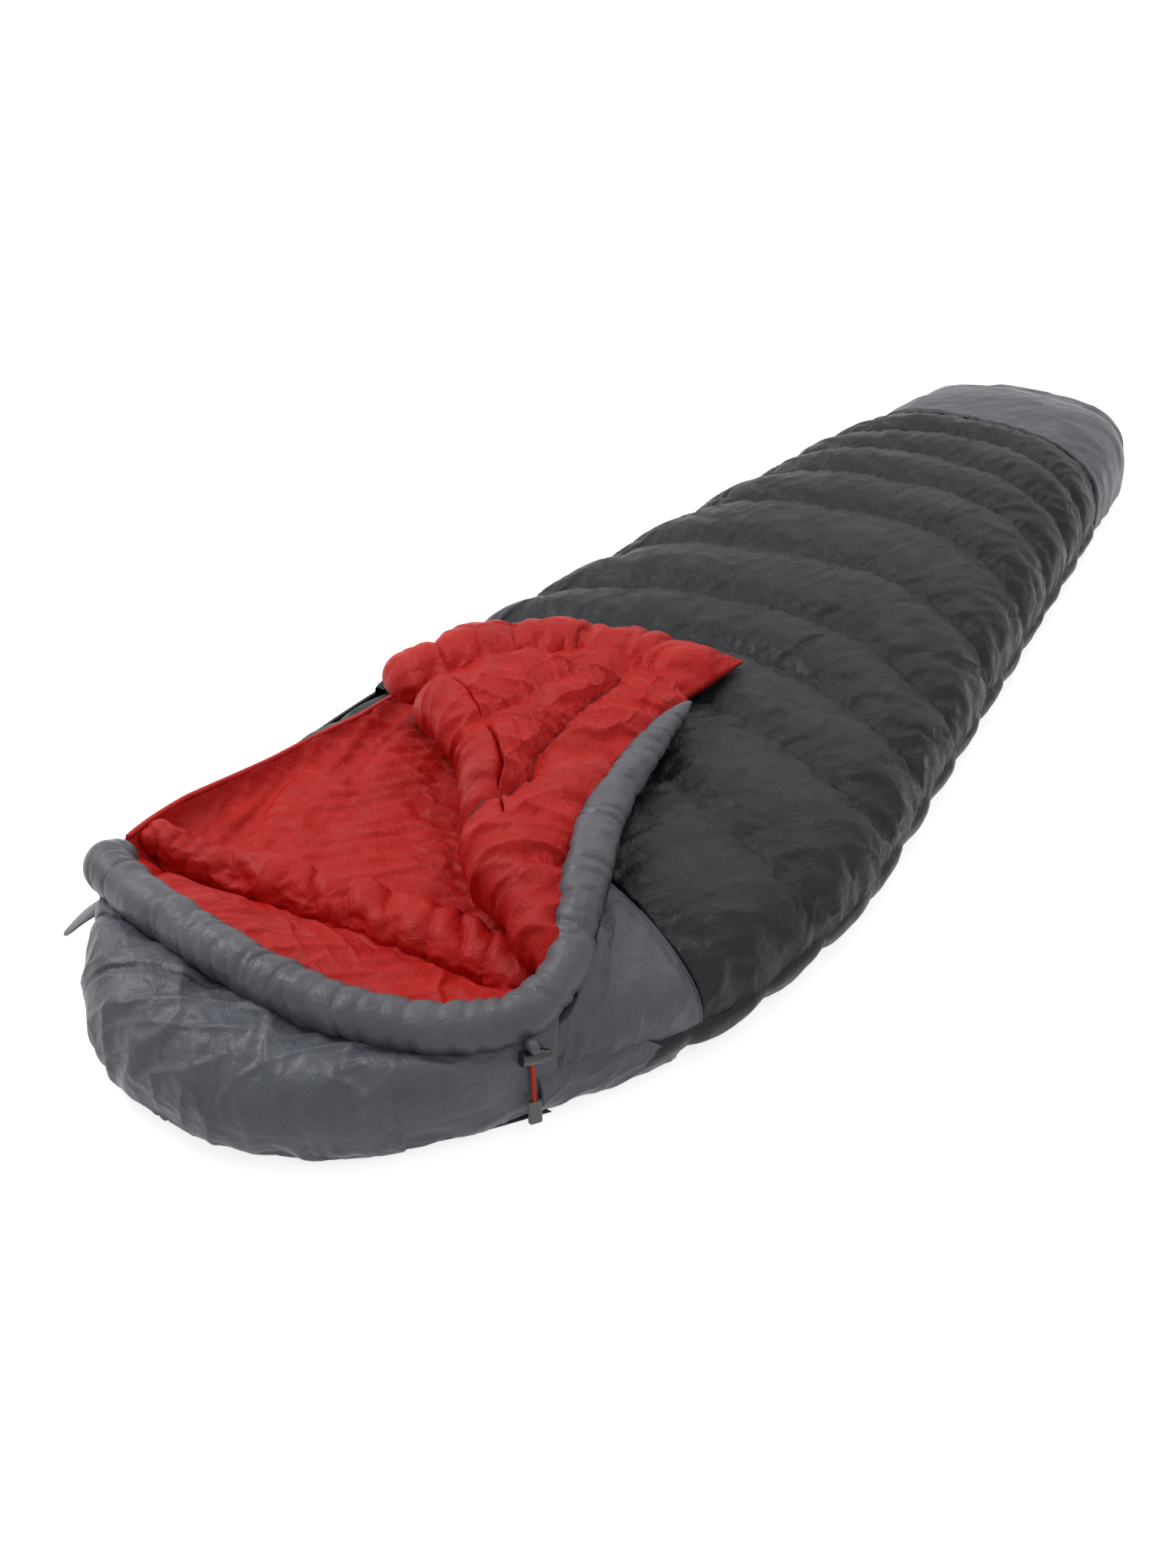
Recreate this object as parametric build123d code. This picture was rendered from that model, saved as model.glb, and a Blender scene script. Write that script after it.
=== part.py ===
from build123d import *
import os
from math import cos, pi, sin, tan, radians

# Mummy sleeping bag, lying on its back with the zip side opened and the upper flap folded away.
# Millimetres. +Y runs from the hood to the foot, -X is the zip side, +Z is up, the floor is z = 0.

os.makedirs("parts", exist_ok=True)

# ---- Outline -------------------------------------------------------------------------------
hood_end = -1105.0          # top of the hood
foot_end = 1095.0           # end of the foot box
shoulder_y = -350.0         # widest station
shoulder_half = 395.0       # half width there
hood_power = 2.2            # roundness of the hood's outline
hood_shift = -35.0          # the hood lies a little towards the zip side
shift_start = -600.0
shift_end = -900.0
foot_corner_y = 950.0       # from here the foot box rounds off
foot_half = 205.0
toe_half = 150.0
hood_seam_y = -845.0
shoulder_seam_y = -615.0
foot_seam_y = 800.0

# ---- Loft (thickness) ----------------------------------------------------------------------
base_top = 48.0             # mattress side, floor to lining
floor_trim = 0.5            # the shell is lofted this much too deep, then cut flat at the floor
top_loft = 42.0             # cover side, shell to lining
skin = 1.5                  # each fabric layer
fit = 0.3                   # clearance between touching pieces
padded_fit = 0.8            # the same beside a padded tube
corner_width = 40.0         # rounded lower edge of the mattress side
corner_height = 42.0
dome_power = 0.7            # squareness of the cover's cross-section
crown = [(hood_end, 62), (-1080, 88), (-1040, 104), (-990, 113), (-930, 121), (hood_seam_y, 128),
         (-720, 135), (shoulder_seam_y, 137), (shoulder_y, 137), (-100, 139), (200, 160), (500, 177),
         (foot_seam_y, 183), (foot_corner_y, 178), (1040, 160), (foot_end, 130)]
more_rows = [-960, -890, -780, -665, -550, -480, -415, -380, -320, -285, -225, 50, 350, 650, 900, 1000]

# ---- Flap fold -----------------------------------------------------------------------------
fold_start = (-335.0, -330.0)      # fold line's end on the zip side
fold_end = (250.0, -775.0)         # fold line's end at the face opening
fold_z = 138.0                     # height of the fold axis
fold_gap = 2.0
flap_loft = 42.0
flap_lift = 0.4                    # the folded flap lies this far above the cover

# ---- Padded tubes --------------------------------------------------------------------------
rim_r = 25.0
piping_r = 2.5
collar_r = 20.0
draft_r = 20.0

# ---- Zip -----------------------------------------------------------------------------------
zip_z = 49.0                # middle of the teeth
zip_top_y = -872.0          # upper end of the zip
zip_bottom_y = 530.0        # lower end of the zip
tape_width = 12.0
tape_thick = 1.2
coil_width = 5.0            # both rows of teeth together
coil_thick = 3.0
stop_length = 5.0
slider_length = 17.0
slider_width = 11.0
plate_thick = 1.0
run_gap = 0.4
pin_r = 0.9
pin_gap = 0.15
lug_thick = 1.2
eye_r = 1.9
eye_length = 3.8
pull_length = 34.0
pull_width = 8.0
pull_thick = 1.4
main_slider_y = -341.0
lower_slider_y = 515.0

# ---- Closure tab and cord lock ---------------------------------------------------------------
tab_length = 78.0
tab_width = 36.0
tab_thick = 2.0
tab_y = -932.0
tab_root_z = 72.0
tab_slope = 40.0            # degrees below level
tab_gap = 1.0
patch_length = 16.0
patch_width = 22.0
patch_thick = 1.0
cord_d = 5.0
cord_y = -868.0             # where the drawcord comes out, on the side away from the zip
cord_gap = 0.4
lock_z = 97.0
lock_tilt = 12.0            # degrees, button end down
barrel_r = 8.5
barrel_length = 25.0
barrel_wall = 1.6
button_r = 6.5
button_proud = 9.0
button_travel = 4.0
button_tail = 4.7           # from the cord's axis to the plunger's inner end
spring_r = 5.6
spring_wall = 1.2
channel_z = 106.8
channel_height = 14.0
channel_width = 11.0
channel_out = 5.5
channel_reach = 30.0        # in to the rim
tip_length = 26.0
tip_width = 15.0
tip_thick = 7.0


def crown_height(y):
    """Height of the cover's crown at a station, straight between the listed stations."""
    for (y0, z0), (y1, z1) in zip(crown, crown[1:]):
        if y <= y1:
            return z0 + (z1 - z0) * (y - y0) / (y1 - y0)
    return crown[-1][1]


def half_width(y, inset=0.0):
    """Half width of the bag at a station, for a layer lying a given distance inside the shell."""
    if y < shoulder_y:
        along = (shoulder_y - y) / (shoulder_y - hood_end - inset)
        return (shoulder_half - inset) * (1 - along ** hood_power) ** (1 / hood_power)
    if y < foot_corner_y:
        share = (y - shoulder_y) / (foot_corner_y - shoulder_y)
        return shoulder_half + (foot_half - shoulder_half) * share - inset
    share = (y - foot_corner_y) / (foot_end - foot_corner_y)
    return foot_half - (foot_half - toe_half) * share ** 2 - inset


def centre_x(y):
    """Sideways place of the middle line: the hood lies over towards the zip side."""
    share = min(max((shift_start - y) / (shift_start - shift_end), 0.0), 1.0)
    return hood_shift * share * share * (3 - 2 * share)


def stations(inset):
    first = hood_end + inset + 8
    last = foot_end - inset
    rows = sorted([y for y, _ in crown] + more_rows)
    between = [y for y in rows if first + 10 < y < last - 10]
    return [first] + between + [last]


def slab_section(y, inset, top, deeper):
    """Mattress side: flat below, rounded lower edges, flat on top."""
    x0 = centre_x(y)
    half = half_width(y, inset)
    run = corner_width - inset
    low = inset - deeper
    rise = corner_height - low
    corner = [radians(a) for a in (0, 22.5, 45, 67.5, 90)]
    right = [(x0 + half - run + run * sin(a), y, low + rise * (1 - cos(a))) for a in corner]
    left = [(2 * x0 - x, y, z) for x, _, z in right]
    edges = [Line(left[0], right[0]), Spline(*right), Line(right[-1], (x0 + half, y, top)),
             Line((x0 + half, y, top), (x0 - half, y, top)), Line((x0 - half, y, top), left[-1]),
             Spline(*left[::-1])]
    return make_face(edges)


def dome_section(y, inset):
    """Cover side: a squarish dome standing on the mattress side."""
    x0 = centre_x(y)
    half = half_width(y, inset)
    rise = crown_height(y) - inset - base_top
    share = [0, 0.03, 0.08, 0.16, 0.27, 0.38, 0.5]
    angles = [pi * s for s in share] + [pi * (1 - s) for s in share[-2::-1]]
    arch = []
    for a in angles:
        c = cos(a)
        across = (1 if c > 0 else -1) * abs(c) ** dome_power
        arch.append((x0 - half * across, y, base_top + rise * max(sin(a), 0) ** dome_power))
    arch[-1] = (x0 + half, y, base_top)
    return make_face([Spline(*arch), Line(arch[-1], arch[0])])


def slab(inset, top, deeper=0.0):
    return loft([slab_section(y, inset, top, deeper) for y in stations(inset)])


def dome(inset):
    return loft([dome_section(y, inset) for y in stations(inset)])


def stretch(y0, y1):
    """A block that keeps the part of the bag between two stations."""
    return Pos(0, (y0 + y1) / 2, 150) * Box(1200, y1 - y0, 400)


def tube(points, radii):
    """A padded tube through the given centre points, with a radius at each."""
    path = Spline(*points)
    faces = []
    for point, radius in zip(points, radii):
        share = path.param_at_point(Vector(*point))
        faces.append(Plane(origin=path.position_at(share), z_dir=path.tangent_at(share)) * Circle(radius))
    return loft(faces)


def beside(points, distance):
    """The same route moved sideways in plan, to the right of its direction when positive."""
    moved = []
    last = len(points) - 1
    for index, point in enumerate(points):
        before = points[max(index - 1, 0)]
        after = points[min(index + 1, last)]
        dx = after[0] - before[0]
        dy = after[1] - before[1]
        size = (dx * dx + dy * dy) ** 0.5
        moved.append((point[0] + distance * dy / size, point[1] - distance * dx / size) + tuple(point[2:]))
    return moved


def save(shape, name):
    export_step(shape, f"parts/{name}.step")
    print(f"{name:20s} {shape.volume / 1000:10.1f} cm3  {len(shape.solids())} solids")


# ---- Layers of the whole bag ------------------------------------------------------------------
rim_route = [(-312, -872, 96), (-262, -915, 106), (-160, -940, 114), (-20, -952, 117), (110, -938, 116),
             (192, -898, 110), (232, -846, 104)]

below_floor = Pos(0, 0, -50) * Box(1200, 2400, 100)
slab_outer = slab(0, base_top, floor_trim) - below_floor
slab_inner = slab(skin, base_top)
slab_fill = slab(skin, base_top - skin)
base_skin = slab_outer - slab_inner

dome_outer = dome(0)
dome_shell_in = dome(skin)
dome_fill_in = dome(top_loft - skin)
dome_lining_in = dome(top_loft)
cover_skin = dome_outer - dome_shell_in
cover_fill = dome_shell_in - dome_fill_in
cover_lining = dome_fill_in - dome_lining_in


def mouth():
    """What the open flap and the face opening leave free above the mattress side."""
    edge = beside(rim_route, rim_r + 2 * piping_r + 2 * padded_fit)
    route = [(-700, fold_start[1]), fold_start, fold_end, (edge[-1][0], edge[-1][1])]
    route += [(x, y) for x, y, _ in edge[-2::-1]]
    route += [(-700, edge[0][1])]
    return Pos(0, 0, base_top) * extrude(make_face(Polyline(*route, close=True)), 300)


opening = mouth()
hood_part = stretch(hood_end - 50, hood_seam_y)
shoulder_part = stretch(hood_seam_y, shoulder_seam_y)
body_part = stretch(shoulder_seam_y, foot_seam_y)
cover_part = stretch(hood_seam_y, foot_seam_y)
foot_part = stretch(foot_seam_y, foot_end + 50)

# Mattress side
save(base_skin & hood_part, "hood_base_shell")
save(base_skin & cover_part, "base_shell")
save(base_skin & foot_part, "foot_base_shell")
save(slab_fill, "base_fill")
save(slab_inner - slab_fill, "base_lining")

# Hood and shoulder panel
save((cover_skin & hood_part) - opening, "hood_shell")
save((cover_fill & hood_part) - opening, "hood_fill")
save((cover_lining & hood_part) - opening, "hood_lining")
save((cover_skin & shoulder_part) - opening, "shoulder_shell")

# Cover
save((cover_skin & body_part) - opening, "top_shell")
save((cover_lining & cover_part) - opening, "top_lining")

# Foot box
save(cover_skin & foot_part, "foot_shell")
save(cover_fill & foot_part, "foot_fill")
save(cover_lining & foot_part, "foot_lining")


# The cover's filling is quilted as a crown and two flanks.
def flank_cut(side):
    share = 0.66
    rows = [hood_seam_y, shoulder_y, foot_corner_y]
    inner = [(centre_x(y) + side * share * half_width(y), y) for y in rows]
    route = inner + [(side * 700, rows[-1]), (side * 700, rows[0])]
    return extrude(make_face(Polyline(*route, close=True)), 400)


top_fill = (cover_fill & cover_part) - opening
left_cut = flank_cut(-1)
right_cut = flank_cut(1)
save(top_fill & left_cut, "top_fill_left")
save(top_fill & right_cut, "top_fill_right")
save(top_fill - left_cut - right_cut, "top_fill_crown")

# Padded rim of the face opening, its piping and the draft collar
rim_radii = [rim_r - 7] + [rim_r] * 5 + [rim_r - 3]
save(tube(rim_route, rim_radii), "hood_rim")
piping_route = beside(rim_route, rim_r + piping_r + padded_fit)
save(tube(piping_route, [piping_r] * len(piping_route)), "rim_piping")
collar_z = base_top + collar_r + fit
collar_route = [(-318, -812, collar_z), (-200, -800, collar_z), (-50, -788, collar_z),
                (100, -786, collar_z), (232, -806, collar_z)]
save(tube(collar_route, [collar_r] * len(collar_route)), "draft_collar")


# ---- Flap -----------------------------------------------------------------------------------------
# Local frame: x along the fold from the zip side, y away from the fold across the cover, z up.
fold = Vector(fold_end[0] - fold_start[0], fold_end[1] - fold_start[1], 0).normalized()
flap_frame = Plane(origin=(fold_start[0], fold_start[1], fold_z), x_dir=fold, z_dir=(0, 0, 1)).location
draft_route = [(30, 24, 23), (56, 108, 36), (118, 212, 44), (205, 318, 40)]
flap_rim_route = [(612, 36, 21), (560, 62, 21), (425, 150, 21), (322, 272, 21), (262, 318, 21)]
flap_rim_radii = [19, 20, 19, 14, 7]
draft_tube = tube(draft_route, [draft_r] * len(draft_route))
flap_rim = tube(flap_rim_route, flap_rim_radii)
rim_room = tube(flap_rim_route, [radius + fit for radius in flap_rim_radii])


def flap_layer(z0, z1):
    """One flat layer of the flap, kept clear of the padded tubes along its two free edges."""
    zip_edge = beside([(x, y) for x, y, _ in draft_route], draft_r + padded_fit)
    inner = [point[:2] for point in flap_rim_route]
    rim_edge = [beside(inner, -radius - padded_fit)[i] for i, radius in enumerate(flap_rim_radii)]
    route = [(zip_edge[0][0], fold_gap), (rim_edge[0][0], fold_gap)]
    outline = [Line(*route), Line(route[1], rim_edge[0]), Spline(*rim_edge),
               Line(rim_edge[-1], zip_edge[-1]), Spline(*zip_edge[::-1]), Line(zip_edge[0], route[0])]
    layer = Pos(0, 0, z0) * extrude(make_face(outline), z1 - z0) - rim_room
    return flap_frame * layer.solids().sort_by(SortBy.VOLUME)[-1]


save(flap_layer(flap_lift, flap_lift + skin), "flap_shell")
save(flap_layer(flap_lift + skin, flap_lift + flap_loft - skin), "flap_fill")
save(flap_layer(flap_lift + flap_loft - skin, flap_lift + flap_loft), "flap_lining")
save(flap_frame * draft_tube, "flap_draft_tube")
save(flap_frame * flap_rim, "flap_rim")


def flap_strip(near, far, z0, z1):
    """A flat strip along the flap's zip edge, between two distances outside the draft tube's middle."""
    route = [(x, y) for x, y, _ in draft_route]
    inner = beside(route, -near)
    outer = beside(route, -far)
    face = make_face([Spline(*inner), Line(inner[-1], outer[-1]), Spline(*outer[::-1]),
                      Line(outer[0], inner[0])])
    return flap_frame * Pos(0, 0, z0) * extrude(face, z1 - z0)


tape_far = 6 + tape_width
save(flap_strip(6, tape_far, flap_lift, flap_lift + tape_thick), "flap_zip_tape")
save(flap_strip(tape_far, tape_far + coil_width / 2, flap_lift, flap_lift + coil_thick), "flap_zip_teeth")

# Sewn loop at the flap's corner and the loop patch that the closure tab grips
rim_end = Vector(*flap_rim_route[-1])
rim_dir = (rim_end - Vector(*flap_rim_route[-2])).normalized()
loop_r = 6.0
loop_wire = 1.3
loop_at = rim_end + rim_dir * (loop_r + loop_wire + fit)
save(flap_frame * Pos(*loop_at) * Torus(loop_r, loop_wire), "flap_loop")


# ---- Zip ------------------------------------------------------------------------------------------
def flank_x(y, off=0.0):
    return centre_x(y) - half_width(y) - off


def flank_line(off, y0, y1):
    """The zip side's edge in plan: curved towards the hood, straight from the shoulders down."""
    bend = min(y1, shoulder_y)
    edges = []
    if y0 < bend:
        rows = [y0 + (bend - y0) * i / 6 for i in range(7)]
        edges.append(Spline(*[(flank_x(y, off), y) for y in rows]))
    if y1 > bend:
        start = max(y0, bend)
        edges.append(Line((flank_x(start, off), start), (flank_x(y1, off), y1)))
    return edges


def strip(near, far, y0, y1, z0, z1):
    ends = [Line((flank_x(y, near), y), (flank_x(y, far), y)) for y in (y0, y1)]
    face = make_face(flank_line(near, y0, y1) + flank_line(far, y0, y1) + ends)
    return Pos(0, 0, z0) * extrude(face, z1 - z0)


tape_near = 2 * fit
coil_near = tape_near + tape_thick
coil_far = coil_near + coil_thick
half_coil = coil_width / 2
seam_gap = 0.2
save(strip(tape_near, coil_near, zip_top_y, zip_bottom_y, zip_z - tape_width, zip_z - seam_gap), "zip_tape_base")
save(strip(tape_near, coil_near, shoulder_y, zip_bottom_y, zip_z + seam_gap, zip_z + tape_width), "zip_tape_top")
save(strip(coil_near, coil_far, zip_top_y, zip_bottom_y, zip_z - half_coil, zip_z), "zip_teeth_base")
save(strip(coil_near, coil_far, shoulder_y, zip_bottom_y, zip_z, zip_z + half_coil), "zip_teeth_top")
save(strip(coil_near, coil_far, zip_bottom_y, zip_bottom_y + stop_length, zip_z - half_coil,
           zip_z + half_coil), "zip_bottom_stop")
save(strip(coil_near, coil_far, zip_top_y - stop_length, zip_top_y, zip_z - half_coil, zip_z), "zip_top_stop")

slope = (foot_half - shoulder_half) / (foot_corner_y - shoulder_y)
plate_in = coil_far + run_gap
plate_out = plate_in + plate_thick
pin_off = plate_out + eye_r + run_gap


def slider_frame(y, turned):
    """x along the teeth, y away from the bag; the lower slider is the upper one turned round."""
    sign = -1 if turned else 1
    return Plane(origin=(flank_x(y), y, zip_z), x_dir=(-slope * sign, sign, 0), z_dir=(0, 0, sign)).location


def slider_body():
    flange_in = coil_near + run_gap
    depth = plate_out - flange_in
    block = Pos(0, flange_in + depth / 2, 0) * Box(slider_length, depth, slider_width)
    block = fillet(block.edges().filter_by(Axis.Y), 2.5)
    channel = Pos(0, (flange_in + plate_in) / 2, 0) * Box(
        2 * slider_length, plate_in - flange_in, coil_width + 2 * run_gap)
    body = block - channel
    lug_z = eye_length / 2 + run_gap / 2 + lug_thick / 2
    for side in (-1, 1):
        height = pin_off + pin_r + 0.5 - plate_out
        body += Pos(0, plate_out + height / 2, side * lug_z) * Box(2.4, height, lug_thick)
    return body + Pos(0, pin_off, 0) * Cylinder(pin_r, 2 * lug_z)


def pull_tab():
    """Eye round the slider's pin, a neck between the lugs and the grip."""
    eye = Cylinder(eye_r, eye_length)
    neck = Pos(3, 0, 0) * Box(6, pull_thick, eye_length)
    grip_length = pull_length - 5
    grip = Pos(5 + grip_length / 2, 0, 0) * Box(grip_length, pull_thick, pull_width)
    grip = fillet(grip.edges().filter_by(Axis.Y), 2.0)
    window = Pos(9, 0, 0) * Box(5, 2 * pull_thick, pull_width - 4)
    return Pos(0, pin_off, 0) * (eye + neck + grip - window - Cylinder(pin_r + pin_gap, 2 * eye_length))


main_frame = slider_frame(main_slider_y, False)
lower_frame = slider_frame(lower_slider_y, True)
save(main_frame * slider_body(), "main_slider")
save(main_frame * pull_tab(), "main_pull")
save(lower_frame * slider_body(), "lower_slider")
save(lower_frame * pull_tab(), "lower_pull")
grip_r = 2.0
grip_end = 22.0
grip_cord = Pos(pull_length + grip_end / 2, pin_off, 0) * Rot(0, 90, 0) * Cylinder(grip_r, grip_end)
grip_cord = fillet(grip_cord.edges(), 1.2)
save(lower_frame * grip_cord, "lower_pull_grip")


# ---- Closure tab ------------------------------------------------------------------------------------
def edge_frame(y, side, z):
    """On the bag's edge in plan: x away from the bag, y along its edge, z up."""
    step = 2.0
    here = Vector(centre_x(y) + side * half_width(y), y, z)
    ahead = Vector(centre_x(y + step) + side * half_width(y + step), y + step, z)
    along = (ahead - here).normalized()
    out = Vector(side * along.Y, -side * along.X, 0)
    return Plane(origin=here, x_dir=out, z_dir=(0, 0, 1))


def tab_blade():
    """Leaf-shaped blade, root at x = 0."""
    half = tab_width / 2
    upper = [(0, half * 0.86), (0.3 * tab_length, half), (0.65 * tab_length, half * 0.86),
             (0.9 * tab_length, half * 0.5), (tab_length, 0)]
    lower = [(x, -y) for x, y in upper[::-1]]
    face = make_face([Spline(*(upper + lower[1:])), Line(lower[-1], upper[0])])
    return Pos(0, 0, -tab_thick / 2) * extrude(face, tab_thick)


tab_edge = edge_frame(tab_y, -1, tab_root_z)
tab_inset = 4.0             # the flank leans in by this much at the tab's height
tab_pose = tab_edge.location * Pos(tab_gap + fit - tab_inset, 0, 0) * Rot(0, tab_slope, 0)
tab_blank = tab_pose * tab_blade()
wall_clear = tab_edge.location * Pos(fit, 0, 0) * tab_edge.location.inverse() * dome_outer
save(tab_blank - wall_clear, "closure_tab")
patch = Pos(18, 0, tab_thick / 2 + patch_thick / 2) * Box(patch_length, patch_width, patch_thick)
save(tab_pose * fillet(patch.edges().filter_by(Axis.Z), 3), "tab_hook_patch")

# ---- Cord lock and drawcord ----------------------------------------------------------------------------
lock_frame = edge_frame(cord_y, 1, 0).location * Pos(0.5, 0, 0)
barrel_axis = lock_frame * Pos(0, 0, lock_z) * Rot(-90 - lock_tilt, 0, 0)
bore_r = barrel_r - barrel_wall
barrel_tail = barrel_length / 2 + 1
barrel_mouth = barrel_length / 2 - 1
barrel = Pos(0, 0, (barrel_mouth - barrel_tail) / 2) * Cylinder(barrel_r, barrel_length)
barrel = fillet(barrel.edges(), 0.7)
bore_length = barrel_length - barrel_wall
barrel -= Pos(0, 0, barrel_mouth - bore_length / 2) * Cylinder(bore_r, bore_length)
plunger_length = button_tail + barrel_mouth + button_proud
plunger = Pos(0, 0, plunger_length / 2 - button_tail) * Cylinder(button_r, plunger_length)
plunger = fillet(plunger.edges().sort_by(Axis.Z)[-1], 2.2)
eye_way = lock_frame * Pos(0, 0, lock_z) * Cylinder(cord_d / 2 + cord_gap, 60)
slot_way = eye_way + lock_frame * Pos(0, button_travel, lock_z) * Cylinder(cord_d / 2 + cord_gap, 60)
slot_way += lock_frame * Pos(0, button_travel / 2, lock_z) * Box(cord_d + 2 * cord_gap, button_travel, 60)
save(barrel_axis * barrel - eye_way, "lock_barrel")
save(barrel_axis * plunger - slot_way, "lock_button")
spring_length = barrel_tail - barrel_wall - button_tail - button_travel - fit
spring = Pos(0, 0, barrel_wall - barrel_tail + spring_length / 2) * (
    Cylinder(spring_r, spring_length) - Cylinder(spring_r - spring_wall, 2 * spring_length))
save(barrel_axis * spring, "lock_spring")

cord_top = channel_z + channel_height - 3
cord_route = [(0, 0, cord_top), (0, 0, 84), (3, -1, 66), (6, -2, 54), (8.4, -2.8, 44.5)]
channel = Pos(channel_out - channel_reach / 2, 0, channel_z + channel_height / 2) * Box(
    channel_reach, channel_width, channel_height)
channel = lock_frame * fillet(channel.edges().filter_by(Axis.Z), 1.5)
channel -= tube(rim_route, [radius + fit for radius in rim_radii])
channel = channel.solids().sort_by(SortBy.VOLUME)[-1]
channel -= lock_frame * Pos(0, 0, cord_top - 20) * Cylinder(cord_d / 2 + fit, 40)
save(channel, "cord_channel")


def cord_radii(points):
    """Each bend is as wide as its two runs allow."""
    radii = []
    for a, b, c in zip(points, points[1:], points[2:]):
        run_in = Vector(*b) - Vector(*a)
        run_out = Vector(*c) - Vector(*b)
        half_turn = radians(run_in.get_angle(run_out) / 2)
        radii.append(0.45 * min(run_in.length, run_out.length) / tan(half_turn))
    return radii


radii = cord_radii(cord_route)
print("cord bend radii", [round(r, 1) for r in radii])
cord_path = FilletPolyline(*cord_route, radius=radii)
cord = sweep(Plane(origin=cord_path @ 0, z_dir=cord_path % 0) * Circle(cord_d / 2), path=cord_path)
print("cord length", round(cord_path.length, 1), "section x length",
      round(pi * cord_d ** 2 / 4 * cord_path.length, 1), "volume", round(cord.volume, 1))
save(lock_frame * cord, "drawcord")
end = Vector(*cord_route[-1])
end_dir = (end - Vector(*cord_route[-2])).normalized()
tip = Pos(0, 0, tip_length / 2) * Box(tip_width, tip_thick, tip_length)
tip = fillet(tip.edges().filter_by(Axis.Z), 2.8)
tip = fillet(tip.edges().group_by(Axis.Z)[-1], 2.4)
tip_frame = Plane(origin=end, x_dir=(0, 1, 0), z_dir=end_dir).location
save(lock_frame * tip_frame * tip, "cord_tip")
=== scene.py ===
import math

import bpy
import mathutils
import numpy as np
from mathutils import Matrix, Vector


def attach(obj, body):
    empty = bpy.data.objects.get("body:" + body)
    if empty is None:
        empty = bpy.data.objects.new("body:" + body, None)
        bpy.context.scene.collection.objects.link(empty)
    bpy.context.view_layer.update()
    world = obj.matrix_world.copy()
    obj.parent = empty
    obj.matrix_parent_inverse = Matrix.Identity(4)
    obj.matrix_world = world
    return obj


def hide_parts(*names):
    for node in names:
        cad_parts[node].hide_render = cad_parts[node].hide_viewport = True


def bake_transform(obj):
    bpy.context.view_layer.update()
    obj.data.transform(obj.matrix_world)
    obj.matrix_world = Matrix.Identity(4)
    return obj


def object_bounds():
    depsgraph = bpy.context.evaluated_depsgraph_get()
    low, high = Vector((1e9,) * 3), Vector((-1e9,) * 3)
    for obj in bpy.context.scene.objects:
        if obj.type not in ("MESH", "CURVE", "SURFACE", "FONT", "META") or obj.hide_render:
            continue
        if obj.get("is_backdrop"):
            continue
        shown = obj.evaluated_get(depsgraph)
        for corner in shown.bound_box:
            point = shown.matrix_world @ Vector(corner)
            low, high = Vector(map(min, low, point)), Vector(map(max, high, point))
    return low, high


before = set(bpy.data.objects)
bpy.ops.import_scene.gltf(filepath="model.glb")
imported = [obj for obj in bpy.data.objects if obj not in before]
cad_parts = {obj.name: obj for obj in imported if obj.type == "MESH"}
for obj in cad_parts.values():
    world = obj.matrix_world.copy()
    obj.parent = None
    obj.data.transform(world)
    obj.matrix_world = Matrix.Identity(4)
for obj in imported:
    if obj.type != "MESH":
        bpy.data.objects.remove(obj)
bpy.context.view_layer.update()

# the bag's driving sizes in metres: +Y runs to the foot, the zip is on the -X side, the floor is z = 0
bag = {"widest": 0.395, "widestAt": -0.35, "hoodReach": 0.755, "hoodRound": 2.2,
       "footHalf": 0.205, "taperEnd": 0.95, "toeDrop": 0.055, "toeReach": 0.145, "headLean": -0.035,
       "baseTop": 0.048, "sectionPower": 0.7, "cloth": 0.0012, "footSeam": 0.80, "hoodSeam": -0.845}
# (station y, height of the crown over the floor)
crownHeights = np.array([(-1.105, .062), (-1.08, .088), (-1.04, .104), (-.99, .113), (-.93, .121),
                         (-.845, .128), (-.72, .135), (-.615, .137), (-.35, .137), (-.10, .139), (.20, .160),
                         (.50, .177), (.80, .183), (.95, .178), (1.04, .160), (1.095, .130)])
foldStart = np.array([-0.335, -0.330])
foldEnd = np.array([0.250, -0.775])
foldAlong = (foldEnd - foldStart) / np.linalg.norm(foldEnd - foldStart)
foldAway = np.array([-foldAlong[1], foldAlong[0]])
foldHeight = 0.138


def smoothStep(t):
    # 0 below 0, 1 above 1, and the cubic 3t^2 - 2t^3 between
    t = np.clip(t, 0, 1)
    return t * t * (3 - 2 * t)


def halfWidth(y):
    # a power curve round the head, a straight taper down the legs, and a parabola in to the toes
    a = np.clip((bag["widestAt"] - y) / bag["hoodReach"], 0, 1)
    head = bag["widest"] * (1 - a ** bag["hoodRound"]) ** (1 / bag["hoodRound"])
    share = (y - bag["widestAt"]) / (bag["taperEnd"] - bag["widestAt"])
    leg = bag["widest"] + (bag["footHalf"] - bag["widest"]) * share
    toe = bag["footHalf"] - bag["toeDrop"] * ((y - bag["taperEnd"]) / bag["toeReach"]) ** 2
    return np.where(y < bag["widestAt"], head, np.where(y < bag["taperEnd"], leg, toe))


def centreX(y):
    # the hood leans over to the zip side
    return bag["headLean"] * smoothStep((-0.6 - y) / 0.3)


def crown(y):
    # straight lines between the heights along the middle, softened over 60 mm
    spread = np.linspace(-0.06, 0.06, 7)
    return sum(np.interp(y + d, crownHeights[:, 0], crownHeights[:, 1]) for d in spread) / len(spread)


sectionTurn = np.linspace(0, math.pi, 1601)
sectionOut = -np.sign(np.cos(sectionTurn)) * np.abs(np.cos(sectionTurn)) ** bag["sectionPower"]
sectionUp = np.abs(np.sin(sectionTurn)) ** bag["sectionPower"]
sectionRun = np.r_[0, np.cumsum(np.hypot(np.diff(sectionOut), np.diff(sectionUp) * 0.33))]
sectionRun /= sectionRun[-1]


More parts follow.
